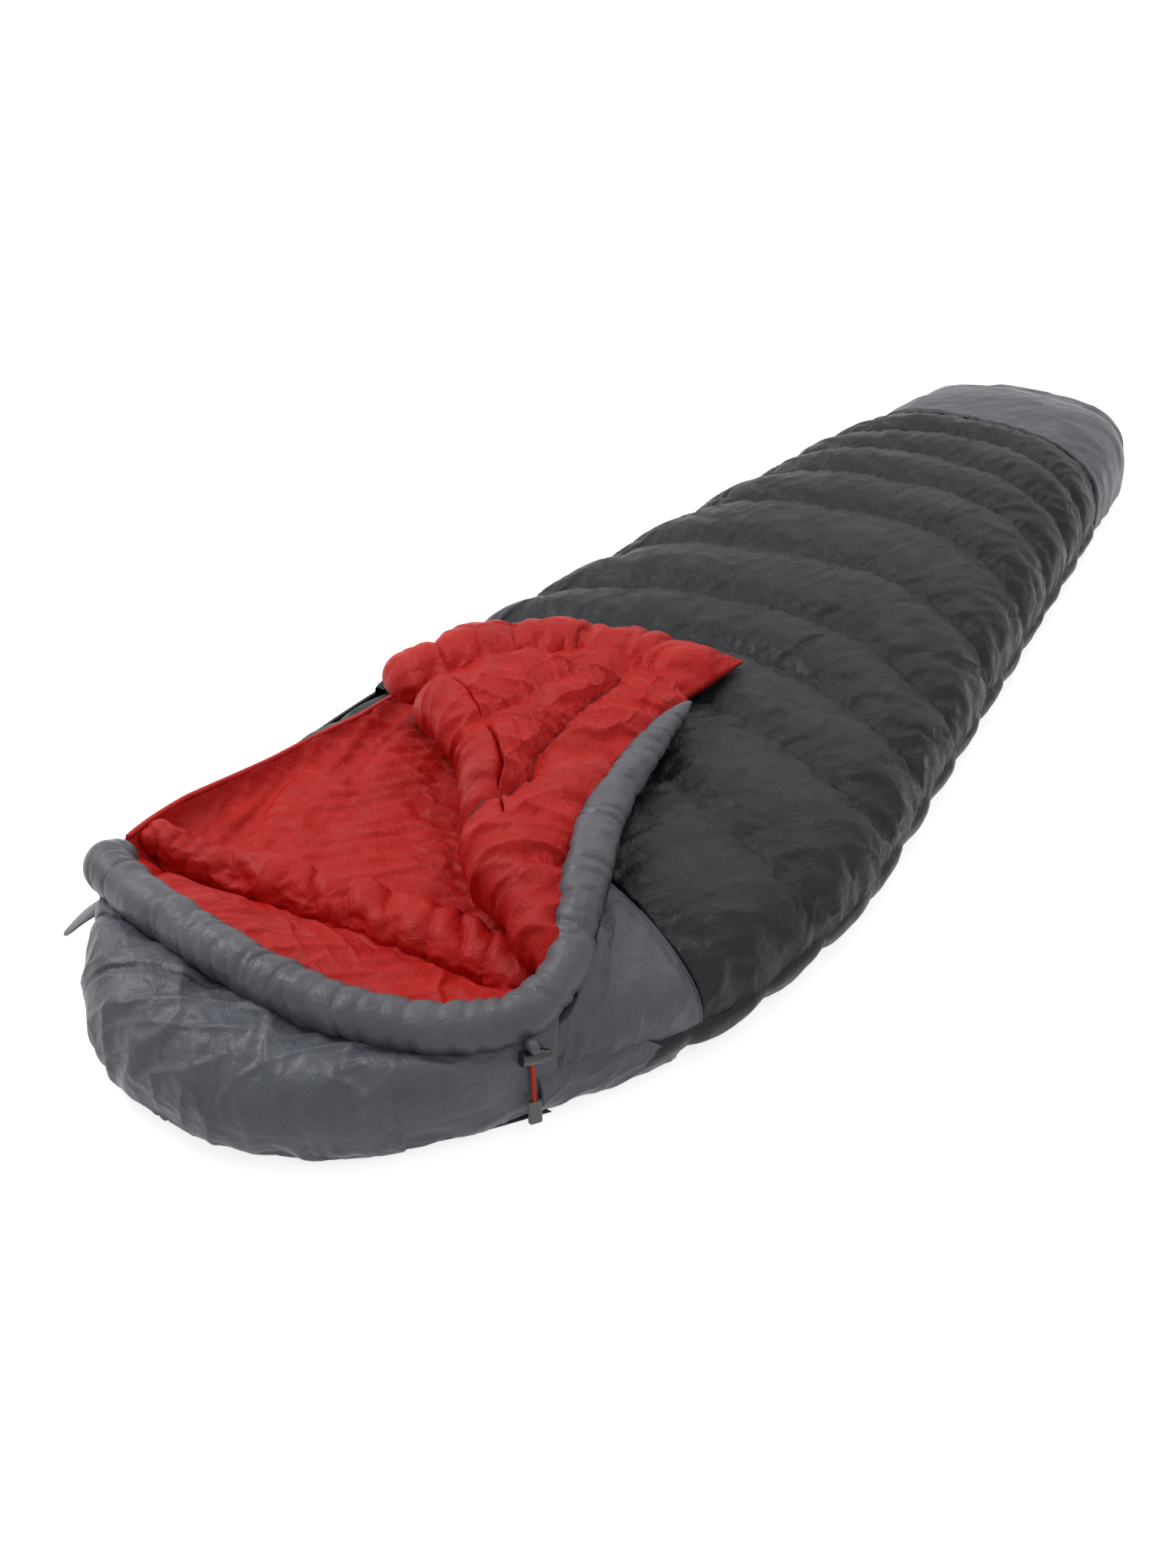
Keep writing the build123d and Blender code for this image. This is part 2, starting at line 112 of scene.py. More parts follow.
def dome(y, s, lower=0.0):
    # a squarish arch over the bag at station y; s goes from 0 on the zip side to 1 on the other
    x = centreX(y) + (halfWidth(y) - lower) * np.interp(s, sectionRun, sectionOut)
    z = bag["baseTop"] + (crown(y) - bag["baseTop"] - lower) * np.interp(s, sectionRun, sectionUp)
    return np.stack([x, y + 0 * x, z], axis=-1)


def acrossAt(x, y):
    # the share s of the arch at which the dome passes over x
    return np.interp((x - centreX(y)) / halfWidth(y), sectionOut, sectionRun)


def foldLineY(x):
    return foldStart[1] + (x - foldStart[0]) * foldAlong[1] / foldAlong[0]


def fromFold(a, b, z):
    # a along the fold and b away from it, turned into the frame
    x = foldStart[0] + a * foldAlong[0] + b * foldAway[0]
    y = foldStart[1] + a * foldAlong[1] + b * foldAway[1]
    return np.stack([x, y, z + 0 * x], axis=-1)


def grain(x, y, seed):
    # smooth noise from about -0.7 to 0.7: each lattice corner slopes in its own direction, blended between
    def corner(i, j):
        h = np.sin(i * 127.1 + j * 311.7 + seed * 74.7) * 43758.5453
        turn = (h - np.floor(h)) * 2 * math.pi
        return np.cos(turn) * (x - i) + np.sin(turn) * (y - j)
    i, j = np.floor(x), np.floor(y)
    u, v = x - i, y - j
    u, v = u ** 3 * (u * (u * 6 - 15) + 10), v ** 3 * (v * (v * 6 - 15) + 10)
    low = corner(i, j) * (1 - u) + corner(i + 1, j) * u
    high = corner(i, j + 1) * (1 - u) + corner(i + 1, j + 1) * u
    return low * (1 - v) + high * v


def rough(x, y, seed, layers=3):
    # noise laid over itself, each layer twice as fine and half as strong
    return sum(grain(x * 2 ** k, y * 2 ** k, seed + 7 * k) / 2 ** k for k in range(layers))


def creases(x, y, seed, turn, long, wide, sharp=3.0):
    # thin raised lines from 0 to 1 that run in the direction turn: the noise's zero lines, stretched
    c, s = math.cos(turn), math.sin(turn)
    along, across = (x * c + y * s) / long, (y * c - x * s) / wide
    bend = grain(along * 0.7, across * 0.35, seed + 3) * 0.9
    return np.clip(1 - np.abs(grain(along, across + bend, seed)) * 2.2, 0, 1) ** sharp


def smoothPath(points, count):
    # cubic pieces through the points, with the mean slope of the neighbours, then evenly spaced
    p = np.array(points, float)
    t = np.r_[0, np.cumsum(np.linalg.norm(np.diff(p, axis=0), axis=1))]
    m = np.gradient(p, t, axis=0)
    s = np.linspace(0, t[-1], count * 4)
    k = np.clip(np.searchsorted(t, s, side="right") - 1, 0, len(t) - 2)
    h = (t[k + 1] - t[k])[:, None]
    u = (s - t[k])[:, None] / h
    q = ((2 * u ** 3 - 3 * u ** 2 + 1) * p[k] + (u ** 3 - 2 * u ** 2 + u) * h * m[k]
         + (3 * u ** 2 - 2 * u ** 3) * p[k + 1] + (u ** 3 - u ** 2) * h * m[k + 1])
    d = np.r_[0, np.cumsum(np.linalg.norm(np.diff(q, axis=0), axis=1))]
    e = np.linspace(0, d[-1], count)
    return np.stack([np.interp(e, d, q[:, i]) for i in range(p.shape[1])], axis=1)


def distanceTo(points, line):
    # the shortest distance in plan from each point to a line of straight runs
    line = np.array(line, float)
    best = np.full(points.shape[:-1], 9.0)
    for start, end in zip(line[:-1], line[1:]):
        run = end - start
        t = np.clip(((points - start) @ run) / (run @ run), 0, 1)
        best = np.minimum(best, np.linalg.norm(points - start - t[..., None] * run, axis=-1))
    return best


def edgeFade(P, cells, sides="lrtb"):
    # 1 inside the grid and smoothly down to 0 at the named edges, over that many cells
    rows, cols = P.shape[:2]
    i, j = np.indices((rows, cols))
    far = {"t": i, "b": rows - 1 - i, "l": j, "r": cols - 1 - j}
    return smoothStep(np.minimum.reduce([far[k] for k in sides]) / cells)


def gridNormals(P, wrap=False):
    # the cross product of the slopes along the rows and down them
    if wrap:
        Q = np.concatenate([P[:, -1:], P, P[:, :1]], axis=1)
        n = np.cross(np.gradient(Q, axis=0), np.gradient(Q, axis=1))[:, 1:-1]
    else:
        n = np.cross(np.gradient(P, axis=0), np.gradient(P, axis=1))
    return n / np.maximum(np.linalg.norm(n, axis=-1, keepdims=True), 1e-12)


def gridFaces(rows, cols, wrap, first=0):
    # the four corner numbers of every cell; wrap joins the last column to the first
    i = np.arange(rows - 1)[:, None]
    j = np.arange(cols if wrap else cols - 1)[None, :]
    k = (j + 1) % cols
    cells = np.stack([i * cols + j, (i + 1) * cols + j, (i + 1) * cols + k, i * cols + k], axis=-1)
    return cells.reshape(-1, 4) + first


def facing(P, row, col, axis=2, sign=1):
    # the grid, turned round if its normal at that cell points the wrong way along the axis
    return P[:, ::-1] if gridNormals(P)[row, col, axis] * sign < 0 else P


def heldEdges(P):
    # the points on the four edges of a grid
    held = np.zeros(P.shape[:2], bool)
    held[[0, -1]] = True
    held[:, [0, -1]] = True
    return held


def patch(bottom, top, left, right, p, q):
    # the surface between four edges: both pairs blended across, less the blend of the four corners
    return ((1 - q)[..., None] * bottom[None] + q[..., None] * top[None]
            + (1 - p)[..., None] * left[:, None] + p[..., None] * right[:, None]
            - ((1 - p) * (1 - q))[..., None] * left[0] - (p * (1 - q))[..., None] * right[0]
            - ((1 - p) * q)[..., None] * left[-1] - (p * q)[..., None] * right[-1])


def noSeam(P):
    # notes for a grid that has no stitched line
    return {"seam": P[..., 0] * 0 + 1, "run": P[..., 0]}


def makePiece(name, points, faces, material, notes=None):
    # points and faces go into a mesh; notes are values for each point that the material reads
    mesh = bpy.data.meshes.new(name)
    mesh.from_pydata(points.reshape(-1, 3).tolist(), [], faces)
    for key, values in (notes or {}).items():
        layer = mesh.attributes.new(key, "FLOAT", "POINT")
        layer.data.foreach_set("value", np.asarray(values, np.float32).ravel())
    mesh.polygons.foreach_set("use_smooth", np.ones(len(mesh.polygons), bool))
    mesh.materials.append(material)
    mesh.update()
    piece = bpy.data.objects.new(name, mesh)
    bpy.context.scene.collection.objects.link(piece)
    return piece


def clothPiece(name, P, thickness, material, notes=None):
    # a closed sheet: the grid, the same grid pushed in by the thickness, and a strip round the edge
    rows, cols = P.shape[:2]
    count = rows * cols
    inner = P - gridNormals(P) * thickness
    faces = gridFaces(rows, cols, False).tolist()
    faces += gridFaces(rows, cols, False, count)[:, ::-1].tolist()
    number = np.arange(count).reshape(rows, cols)
    loop = np.r_[number[0, :-1], number[:-1, -1], number[-1, :0:-1], number[:0:-1, 0]]
    after = np.roll(loop, -1)
    faces += np.stack([loop, after, after + count, loop + count], axis=-1).tolist()
    double = {k: np.r_[np.ravel(v), np.ravel(v)] for k, v in (notes or {}).items()}
    return makePiece(name, np.concatenate([P.reshape(-1, 3), inner.reshape(-1, 3)]), faces, material, double)


def rollPiece(name, P, material, notes=None):
    # a closed roll: rings that join up, and a fan of triangles to the middle of each end
    rows, cols = P.shape[:2]
    count = rows * cols
    points = np.concatenate([P.reshape(-1, 3), P[0].mean(0)[None], P[-1].mean(0)[None]])
    faces = gridFaces(rows, cols, True).tolist()
    j = np.arange(cols)
    k = (j + 1) % cols
    last = (rows - 1) * cols
    faces += np.stack([j, k, np.full(cols, count)], axis=-1).tolist()
    faces += np.stack([last + k, last + j, np.full(cols, count + 1)], axis=-1).tolist()
    ends = {key: np.r_[np.ravel(v), np.ravel(v)[0], np.ravel(v)[-1]] for key, v in (notes or {}).items()}
    return makePiece(name, points, faces, material, ends)


def ringsAlong(path, wide, high, around, squash=2.0, up=(0, 0, 1)):
    # rounded sections carried along a path: wide is across it in plan and high is upright
    run = np.gradient(path, axis=0)
    run /= np.linalg.norm(run, axis=1, keepdims=True)
    side = np.cross(run, np.array(up, float))
    side /= np.linalg.norm(side, axis=1, keepdims=True)
    top = np.cross(side, run)
    turn = np.linspace(0, 2 * math.pi, around, endpoint=False)
    c = np.sign(np.cos(turn)) * np.abs(np.cos(turn)) ** (2 / squash)
    s = np.sign(np.sin(turn)) * np.abs(np.sin(turn)) ** (2 / squash)
    return (path[:, None] + side[:, None] * (np.atleast_1d(wide)[:, None] * c)[..., None]
            + top[:, None] * (np.atleast_1d(high)[:, None] * s)[..., None])


def roundEnds(count, share):
    # 1 along the middle of a roll, and the quarter of a circle down to almost 0 at each end
    t = np.linspace(0, 1, count)
    near = np.clip(np.minimum(t, 1 - t) / share, 0, 1)
    return np.sqrt(np.clip(1 - (1 - near) ** 2, 0.004, 1))


simulation = {"steps": 16, "quality": 4, "pointMass": 0.2, "stretch": 12, "shear": 6, "bend": 0.6,
              "damping": 6, "bendDamping": 0.6, "air": 2}


def settle(P, held, slack, push, cap, wrap=False, calm=1.0):
    # cloth a little too large for its place, held at some points and pushed outwards, buckles into folds;
    # no point moves further than cap, and calm is the share of its move that each point keeps
    rows, cols = P.shape[:2]
    mesh = bpy.data.meshes.new("trial")
    mesh.from_pydata(P.reshape(-1, 3).tolist(), [], gridFaces(rows, cols, wrap).tolist())
    trial = bpy.data.objects.new("trial", mesh)
    bpy.context.scene.collection.objects.link(trial)
    pins = trial.vertex_groups.new(name="held")
    pins.add([int(i) for i in np.flatnonzero(held.ravel())], 1.0, "REPLACE")
    cloth = trial.modifiers.new("cloth", "CLOTH")
    values = cloth.settings
    values.quality = simulation["quality"]
    values.mass = simulation["pointMass"]
    values.tension_stiffness = values.compression_stiffness = simulation["stretch"]
    values.shear_stiffness = simulation["shear"]
    values.bending_stiffness = simulation["bend"]
    values.tension_damping = values.compression_damping = values.shear_damping = simulation["damping"]
    values.bending_damping = simulation["bendDamping"]
    values.air_damping = simulation["air"]
    values.effector_weights.gravity = 0
    values.vertex_group_mass = "held"
    values.use_pressure = True
    values.uniform_pressure_force = push
    values.shrink_min = -slack
    cloth.point_cache.frame_start = 1
    cloth.point_cache.frame_end = simulation["steps"]
    for step in range(1, simulation["steps"] + 1):
        bpy.context.scene.frame_set(step)
    result = trial.evaluated_get(bpy.context.evaluated_depsgraph_get())
    moved = np.empty(rows * cols * 3, np.float32)
    result.data.vertices.foreach_get("co", moved)
    bpy.data.objects.remove(trial)
    bpy.data.meshes.remove(mesh)
    bpy.context.scene.frame_set(1)
    shift = moved.reshape(P.shape).astype(float) - P
    size = np.linalg.norm(shift, axis=-1, keepdims=True)
    keep = np.asarray(calm)[..., None] if np.ndim(calm) else calm
    return P + shift * (keep * cap * np.tanh(size / cap) / np.maximum(size, 1e-9))


print("materials")


def addNode(tree, kind, inputs=None, **settings):
    node = tree.nodes.new(kind)
    for key, value in settings.items():
        setattr(node, key, value)
    for key, value in (inputs or {}).items():
        node.inputs[key].default_value = value
    return node


def startMaterial(name, roughness):
    material = bpy.data.materials.new(name)
    material.use_nodes = True
    tree = material.node_tree
    shader = tree.nodes["Principled BSDF"]
    shader.inputs["Roughness"].default_value = roughness
    return material, tree, shader


def spreadNode(tree, fromLow, fromHigh, toLow, toHigh):
    # a straight change of range, held at both ends
    return addNode(tree, "ShaderNodeMapRange",
                   {"From Min": fromLow, "From Max": fromHigh, "To Min": toLow, "To Max": toHigh})


def tintNode(tree, colour):
    # the colour times what is linked to B
    node = addNode(tree, "ShaderNodeMix", {"Factor": 1.0}, data_type="RGBA", blend_type="MULTIPLY")
    node.inputs["A"].default_value = (*colour, 1)
    return node


def math2(tree, operation, first, second):
    node = tree.nodes.new("ShaderNodeMath")
    node.operation = operation
    for socket, value in zip(node.inputs, (first, second)):
        if isinstance(value, (int, float)):
            socket.default_value = value
        else:
            tree.links.new(value, socket)
    return node.outputs[0]


# the stitch dashes, and the half widths of the stitch line and of the painted shade in the seam groove
stitchesAndGrooveShade = {"length": 0.005, "gapShare": 0.28, "halfLine": 0.0006, "halfGroove": 0.0030}


def fabric(name, colour, roughness, crinkle, shade=0.16, specular=0.34, stitchedWithGrooveShade=False, scale=1.0):
    # woven nylon: uneven colour, crumple lines of two sizes and a fine weave in the bump, and, where the seam
    # value crosses 0, a band of painted shade along the seam groove with darker dashes for the stitches
    material, tree, shader = startMaterial(name, roughness)
    shader.inputs["Specular IOR Level"].default_value = specular
    place = addNode(tree, "ShaderNodeTexCoord").outputs["Object"]
    link = tree.links.new

    def noise(size, detail, kind="FBM", **more):
        values = {"Scale": size * scale, "Detail": detail, **more}
        node = addNode(tree, "ShaderNodeTexNoise", values, noise_type=kind)
        link(place, node.inputs["Vector"])
        return node.outputs["Fac"]

    uneven = spreadNode(tree, 0.3, 0.7, 1 - shade, 1 + shade)
    link(noise(9, 4), uneven.inputs["Value"])
    tint = tintNode(tree, colour)
    link(uneven.outputs[0], tint.inputs["B"])
    shown = tint.outputs["Result"]
    large = noise(17, 5, "RIDGED_MULTIFRACTAL", Roughness=0.5, Lacunarity=2.1, Distortion=0.6)
    small = noise(55, 4, "FBM", Roughness=0.6, Distortion=1.2)
    weave = noise(900, 1)
    if stitchedWithGrooveShade:
        seam = addNode(tree, "ShaderNodeAttribute", attribute_name="seam").outputs["Fac"]
        run = addNode(tree, "ShaderNodeAttribute", attribute_name="run").outputs["Fac"]
        # painted shade: the cloth darkens by half towards a quarter of its colour across the seam groove,
        # fading out at halfGroove from the line, and further on each stitch dash
        near = spreadNode(tree, stitchesAndGrooveShade["halfLine"], stitchesAndGrooveShade["halfGroove"], 1.0, 0.0)
        link(math2(tree, "ABSOLUTE", seam, 0.0), near.inputs["Value"])
        step = math2(tree, "FRACT", math2(tree, "DIVIDE", run, stitchesAndGrooveShade["length"]), 0.0)
        dash = math2(tree, "GREATER_THAN", step, stitchesAndGrooveShade["gapShare"])
        depth = math2(tree, "ADD", math2(tree, "MULTIPLY", dash, 0.35), 0.5)
        amount = math2(tree, "MULTIPLY", near.outputs[0], depth)
        stitchAndGrooveShade = addNode(tree, "ShaderNodeMix", data_type="RGBA")
        link(amount, stitchAndGrooveShade.inputs["Factor"])
        link(shown, stitchAndGrooveShade.inputs["A"])
        stitchAndGrooveShade.inputs["B"].default_value = (*[c * 0.25 for c in colour], 1)
        shown = stitchAndGrooveShade.outputs["Result"]
    link(shown, shader.inputs["Base Color"])
    gloss = spreadNode(tree, 0.25, 0.75, roughness - 0.07, roughness + 0.09)
    link(noise(24, 3), gloss.inputs["Value"])
    link(gloss.outputs[0], shader.inputs["Roughness"])
    last = None
    layers = ((weave, 0.0002, 0.25), (small, 0.004, crinkle * 0.8), (large, 0.008, crinkle))
    for height, deep, strength in layers:
        bump = addNode(tree, "ShaderNodeBump", {"Strength": strength, "Distance": deep})
        link(height, bump.inputs["Height"])
        if last:
            link(last, bump.inputs["Normal"])
        last = bump.outputs["Normal"]
    link(last, shader.inputs["Normal"])
    return material


def moulded(name, colour, roughness, metal=0.0, coat=0.0):
    # plastic, rubber or lacquered metal with a fine moulded grain and slightly uneven gloss
    material, tree, shader = startMaterial(name, roughness)
    shader.inputs["Metallic"].default_value = metal
    shader.inputs["Coat Weight"].default_value = coat
    place = addNode(tree, "ShaderNodeTexCoord").outputs["Object"]
    fine = addNode(tree, "ShaderNodeTexNoise", {"Scale": 600, "Detail": 2})
    broad = addNode(tree, "ShaderNodeTexNoise", {"Scale": 60, "Detail": 3})
    spread = addNode(tree, "ShaderNodeMapRange", {"To Min": roughness - 0.08, "To Max": roughness + 0.12})
    tone = addNode(tree, "ShaderNodeMapRange", {"To Min": 0.8, "To Max": 1.2})
    tint = tintNode(tree, colour)
    bump = addNode(tree, "ShaderNodeBump", {"Strength": 0.3, "Distance": 0.0002})
    link = tree.links.new
    for node in (fine, broad):
        link(place, node.inputs["Vector"])
    link(broad.outputs["Fac"], spread.inputs["Value"])
    link(broad.outputs["Fac"], tone.inputs["Value"])
    link(tone.outputs[0], tint.inputs["B"])
    link(tint.outputs["Result"], shader.inputs["Base Color"])
    link(spread.outputs[0], shader.inputs["Roughness"])
    link(fine.outputs["Fac"], bump.inputs["Height"])
    link(bump.outputs["Normal"], shader.inputs["Normal"])
    return material


def braid(name, colour, pitch):
    # a braided cord: two sets of slanting ribs crossing on the surface, with painted shade in the grooves
    # between them and painted light on their tops
    material, tree, shader = startMaterial(name, 0.6)
    place = addNode(tree, "ShaderNodeTexCoord").outputs["Object"]
    link = tree.links.new
    heights = []
    for turn in (0.7, -0.7):
        tilt = addNode(tree, "ShaderNodeMapping")
        tilt.inputs["Rotation"].default_value = (turn, turn, turn)
        wave = addNode(tree, "ShaderNodeTexWave", {"Scale": 1 / pitch, "Distortion": 0.4})
        link(place, tilt.inputs["Vector"])
        link(tilt.outputs[0], wave.inputs["Vector"])
        heights.append(wave.outputs["Fac"])
    both = math2(tree, "MAXIMUM", *heights)
    # painted shade and light: the colour follows the rib height, darker down between the ribs and lighter on
    # their tops
    tone = addNode(tree, "ShaderNodeMapRange", {"To Min": 0.6, "To Max": 1.1})
    link(both, tone.inputs["Value"])
    tint = tintNode(tree, colour)
    link(tone.outputs[0], tint.inputs["B"])
    link(tint.outputs["Result"], shader.inputs["Base Color"])
    bump = addNode(tree, "ShaderNodeBump", {"Strength": 0.6, "Distance": 0.0006})
    link(both, bump.inputs["Height"])
    link(bump.outputs["Normal"], shader.inputs["Normal"])
    return material


blackShell = fabric("blackShell", (0.0085, 0.0105, 0.0140), 0.42, 0.7, specular=0.26, stitchedWithGrooveShade=True)
greyShell = fabric("greyShell", (0.100, 0.108, 0.127), 0.40, 0.7, stitchedWithGrooveShade=True)
redLining = fabric("redLining", (0.50, 0.012, 0.009), 0.48, 0.8, shade=0.10, specular=0.18, stitchedWithGrooveShade=True)
rimCloth = fabric("rimCloth", (0.108, 0.110, 0.126), 0.40, 0.6)
redEdge = fabric("redEdge", (0.60, 0.030, 0.026), 0.55, 0.2, scale=3)
blackTape = fabric("blackTape", (0.012, 0.012, 0.013), 0.7, 0.2, scale=3)
hookTape = fabric("hookTape", (0.16, 0.17, 0.18), 0.85, 0.8, scale=8)
darkMetal = moulded("darkMetal", (0.03, 0.03, 0.032), 0.35, metal=0.8)
lockPlastic = moulded("lockPlastic", (0.012, 0.012, 0.013), 0.28, coat=0.4)
coilPlastic = moulded("coilPlastic", (0.015, 0.015, 0.016), 0.4)
springSteel = moulded("springSteel", (0.55, 0.55, 0.55), 0.3, metal=1.0)
tipRubber = moulded("tipRubber", (0.13, 0.14, 0.14), 0.45)
cordRed = braid("cordRed", (0.62, 0.012, 0.012), 0.004)

nodeFinish = {
    "main_slider": darkMetal, "lower_slider": darkMetal, "main_pull": darkMetal, "lower_pull": darkMetal,
    "lower_pull_grip": cordRed, "lock_barrel": lockPlastic, "lock_button": lockPlastic,
    "lock_spring": springSteel, "cord_tip": tipRubber, "zip_tape_base": blackTape, "zip_tape_top": blackTape,
    "flap_zip_tape": blackTape, "zip_teeth_base": coilPlastic, "zip_teeth_top": coilPlastic,
    "flap_zip_teeth": coilPlastic, "zip_bottom_stop": darkMetal, "zip_top_stop": darkMetal,
    "flap_loop": cordRed, "tab_hook_patch": hookTape,
}
for nodeName, finish in nodeFinish.items():
    node = bpy.data.objects[nodeName]
    node.data.materials.clear()
    node.data.materials.append(finish)

print("cover")
cover = {"rows": 260, "cols": 180, "puff": 0.009, "pucker": 0.0030, "slack": 0.035, "push": 2.5, "cap": 0.007,
         "seams": [-0.600, -0.405, -0.225, -0.085, 0.045, 0.205, 0.375, 0.505, 0.615, 0.715, 0.800]}


def seamY(x, place):
    # every seam bows towards the foot in the middle
    return place - 0.55 * np.abs(x - 0.06) ** 1.7 - 0.004 * np.sin(x * 19 + place * 40)


def seamLevel(x, y, places):
    # the signed distance to the nearest seam, and the share of the way across the channel
    lines = np.stack([seamY(x, p) for p in places])
    gaps = y - lines
    near = np.argmin(np.abs(gaps), axis=0)
    signed = np.take_along_axis(gaps, near[None], 0)[0]
    k = np.clip((gaps > 0).sum(0) - 1, 0, len(places) - 2)
    low = np.take_along_axis(lines, k[None], 0)[0]
    high = np.take_along_axis(lines, k[None] + 1, 0)[0]
    return signed, np.clip((y - low) / (high - low), 0, 1)


def quilt(P, signed, share, x, y, values, seed):
    # channels swell between the seams, and the cloth puckers across each seam
    flank = 0.62 + 0.38 * np.clip((P[..., 2] - 0.05) / 0.06, 0, 1)
    swell = values["puff"] * (4 * share * (1 - share)) ** 0.6 * flank
    lines = creases(x, y, seed, math.pi / 2, 0.06, 0.016, 2)
    pucker = (lines - 0.4) * values["pucker"] * np.exp(-np.abs(signed) / 0.022)
    soft = 0.004 * rough(x / 0.16, y / 0.12, seed + 20) + 0.0016 * creases(x, y, seed + 30, 1.2, 0.16, 0.03)
    return P + gridNormals(P) * (swell + pucker + soft)[..., None]


def coverGrid():
    v = np.linspace(0, 1, cover["cols"])[None, :]
    u = np.linspace(0, 1, cover["rows"])[:, None]
    start = np.full_like(v, -0.5)
    for _ in range(12):
        x = dome(start, v)[..., 0]
        start = 0.5 * start + 0.5 * np.where(x < foldStart[0], foldStart[1] - 0.035,
                                             np.maximum(foldLineY(x) + 0.006, seamY(x, cover["seams"][0])))
    y = start + u * (bag["footSeam"] - start)
    return dome(y, v + 0 * y, 0.006)


P = facing(coverGrid(), 130, 90)
x, y = P[..., 0], P[..., 1]
signed, share = seamLevel(x, y, cover["seams"])
corner = smoothStep((-0.285 - x) / 0.06) * (1 - smoothStep((y - foldStart[1]) / 0.17))
P[..., 2] += corner * (np.minimum(P[..., 2], 0.066) - P[..., 2])
P = quilt(P, signed, share, x, y, cover, 5)
held = np.abs(signed) < 0.0032
held[[0, -1]] = True
held[:, [0, -1]] = True
P = settle(P, held, cover["slack"], cover["push"], cover["cap"])
coverPiece = clothPiece("cover", P, bag["cloth"], blackShell, {"seam": signed, "run": x})
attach(coverPiece, "bag")
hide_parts("top_shell", "top_fill_left", "top_fill_right", "top_fill_crown")

print("shoulder panel")
shoulder = {"rows": 90, "cols": 80, "slack": 0.04, "push": 1.5, "cap": 0.008}
u = np.linspace(0, 1, shoulder["rows"])[:, None]
v = np.linspace(0, 1, shoulder["cols"])[None, :]
start = bag["hoodSeam"] - 0.02
y = start + u * (cover["seams"][0] - start) + 0 * v
for _ in range(8):
    left = np.minimum((y - foldStart[1]) * foldAlong[0] / foldAlong[1] + foldStart[0] - 0.004, 0.234)
    s0 = acrossAt(left, y)
    s = s0 + (1 - s0) * v
    x = dome(y, s)[..., 0]
    y = start + u * (seamY(x, cover["seams"][0]) - start)
P = dome(y, s, 0.004)
P[..., 2] += 0.016 * smoothStep((0.35 - v) / 0.35) * smoothStep((-0.66 - y) / 0.08)
P = facing(P, 40, 20)
x, y = P[..., 0], P[..., 1]
rimEdge = [(0.27, -0.84), (0.262, -0.78), (0.215, -0.70), (0.18, -0.62), (0.14, -0.55)]
gap = distanceTo(P[..., :2], rimEdge)
ripple = 0.008 * np.exp(-gap / 0.05) * (creases(x, y, 41, 2.05, 0.12, 0.030, 1.5) - 0.6)
swell = 0.008 * np.sin(np.pi * u) ** 0.6 + ripple + 0.003 * rough(x / 0.1, y / 0.1, 44)
P = P + gridNormals(P) * (swell * edgeFade(P, 12))[..., None]
held = heldEdges(P)
P = settle(P, held, shoulder["slack"], shoulder["push"], shoulder["cap"], calm=edgeFade(P, 10))
edge = np.minimum(u, 1 - u) * 0.22 + 0 * v
shoulderPiece = clothPiece("shoulderPanel", P, bag["cloth"], greyShell, {"seam": edge - 0.004, "run": x})
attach(shoulderPiece, "bag")
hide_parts("shoulder_shell")

print("rim")
rim = {"rows": 420, "around": 40, "slack": 0.028, "push": 2.0, "cap": 0.003}
# (x, y, z, radius)
rimRoute = [(-.330, -.862, .098, .021), (-.324, -.900, .106, .028), (-.262, -.926, .113, .029),
            (-.160, -.944, .118, .029), (-.020, -.955, .120, .029), (.110, -.940, .120, .029),
            (.192, -.902, .120, .028), (.238, -.850, .124, .027), (.246, -.785, .138, .026),
            (.217, -.720, .156, .026), (.185, -.650, .168, .026), (.151, -.578, .174, .025),
            (.128, -.500, .176, .023), (.112, -.430, .178, .020), (.099, -.352, .180, .014),
            (.097, -.300, .181, .005)]


def rimGrid():
    # the padded roll's rings, with bands of cloth drawn in across it here and there
    path = smoothPath(rimRoute, rim["rows"])
    ends = roundEnds(rim["rows"], 0.02)
    radius = path[:, 3] * ends
    P = ringsAlong(path[:, :3], radius * 1.03, radius * 0.97, rim["around"])
    run = np.linspace(0, 1.6, rim["rows"])[:, None]
    turn = np.linspace(0, 2 * math.pi, rim["around"], endpoint=False)[None, :]
    band = creases(run + 0.012 * np.sin(turn), 0.02 * np.cos(turn - 0.4), 61, 1.45, 0.09, 0.035, 2)
    dent = -0.0028 * band + 0.002 * grain(run / 0.05, np.sin(turn) * 0.8, 62)
    dent = dent + 0.001 * grain(run / 0.016, np.cos(turn), 63)
    return P + gridNormals(P, True) * (dent * radius[:, None] / 0.028)[..., None] * (-1 if wrongWay(P) else 1)


def wrongWay(P):
    # whether a roll's grid faces inwards
    return float((gridNormals(P, True)[5:-5] * (P - P.mean(1, keepdims=True))[5:-5]).sum()) < 0


def outward(P):
    return P[:, ::-1] if wrongWay(P) else P


P = outward(rimGrid())
held = np.zeros(P.shape[:2], bool)
held[:3] = held[-3:] = True
lowest = np.argmin(P[..., 2], axis=1)
held[np.arange(len(P)), lowest] = True
P = settle(P, held, rim["slack"], rim["push"], rim["cap"], wrap=True)
rimPiece = rollPiece("rim", P, rimCloth)
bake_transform(rimPiece)
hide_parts("hood_rim", "flap_rim")

print("hood")
hood = {"start": -0.836, "rows": 90, "cols": 240, "slack": 0.035, "push": 1.5, "cap": 0.007}


def hoodOutline(count):
    # the bag's edge from the zip side round the top of the head to the other side
    turn = np.linspace(0, math.pi, 400)
    y = hood["start"] - (1.105 + hood["start"]) * np.sin(turn)
    half = halfWidth(y)
    x = centreX(y) - half * np.sign(np.cos(turn))
    x[np.abs(turn - math.pi / 2) < 0.004] = centreX(np.array(-1.105))
    return smoothPath(np.stack([x, y], axis=1)[::6], count)


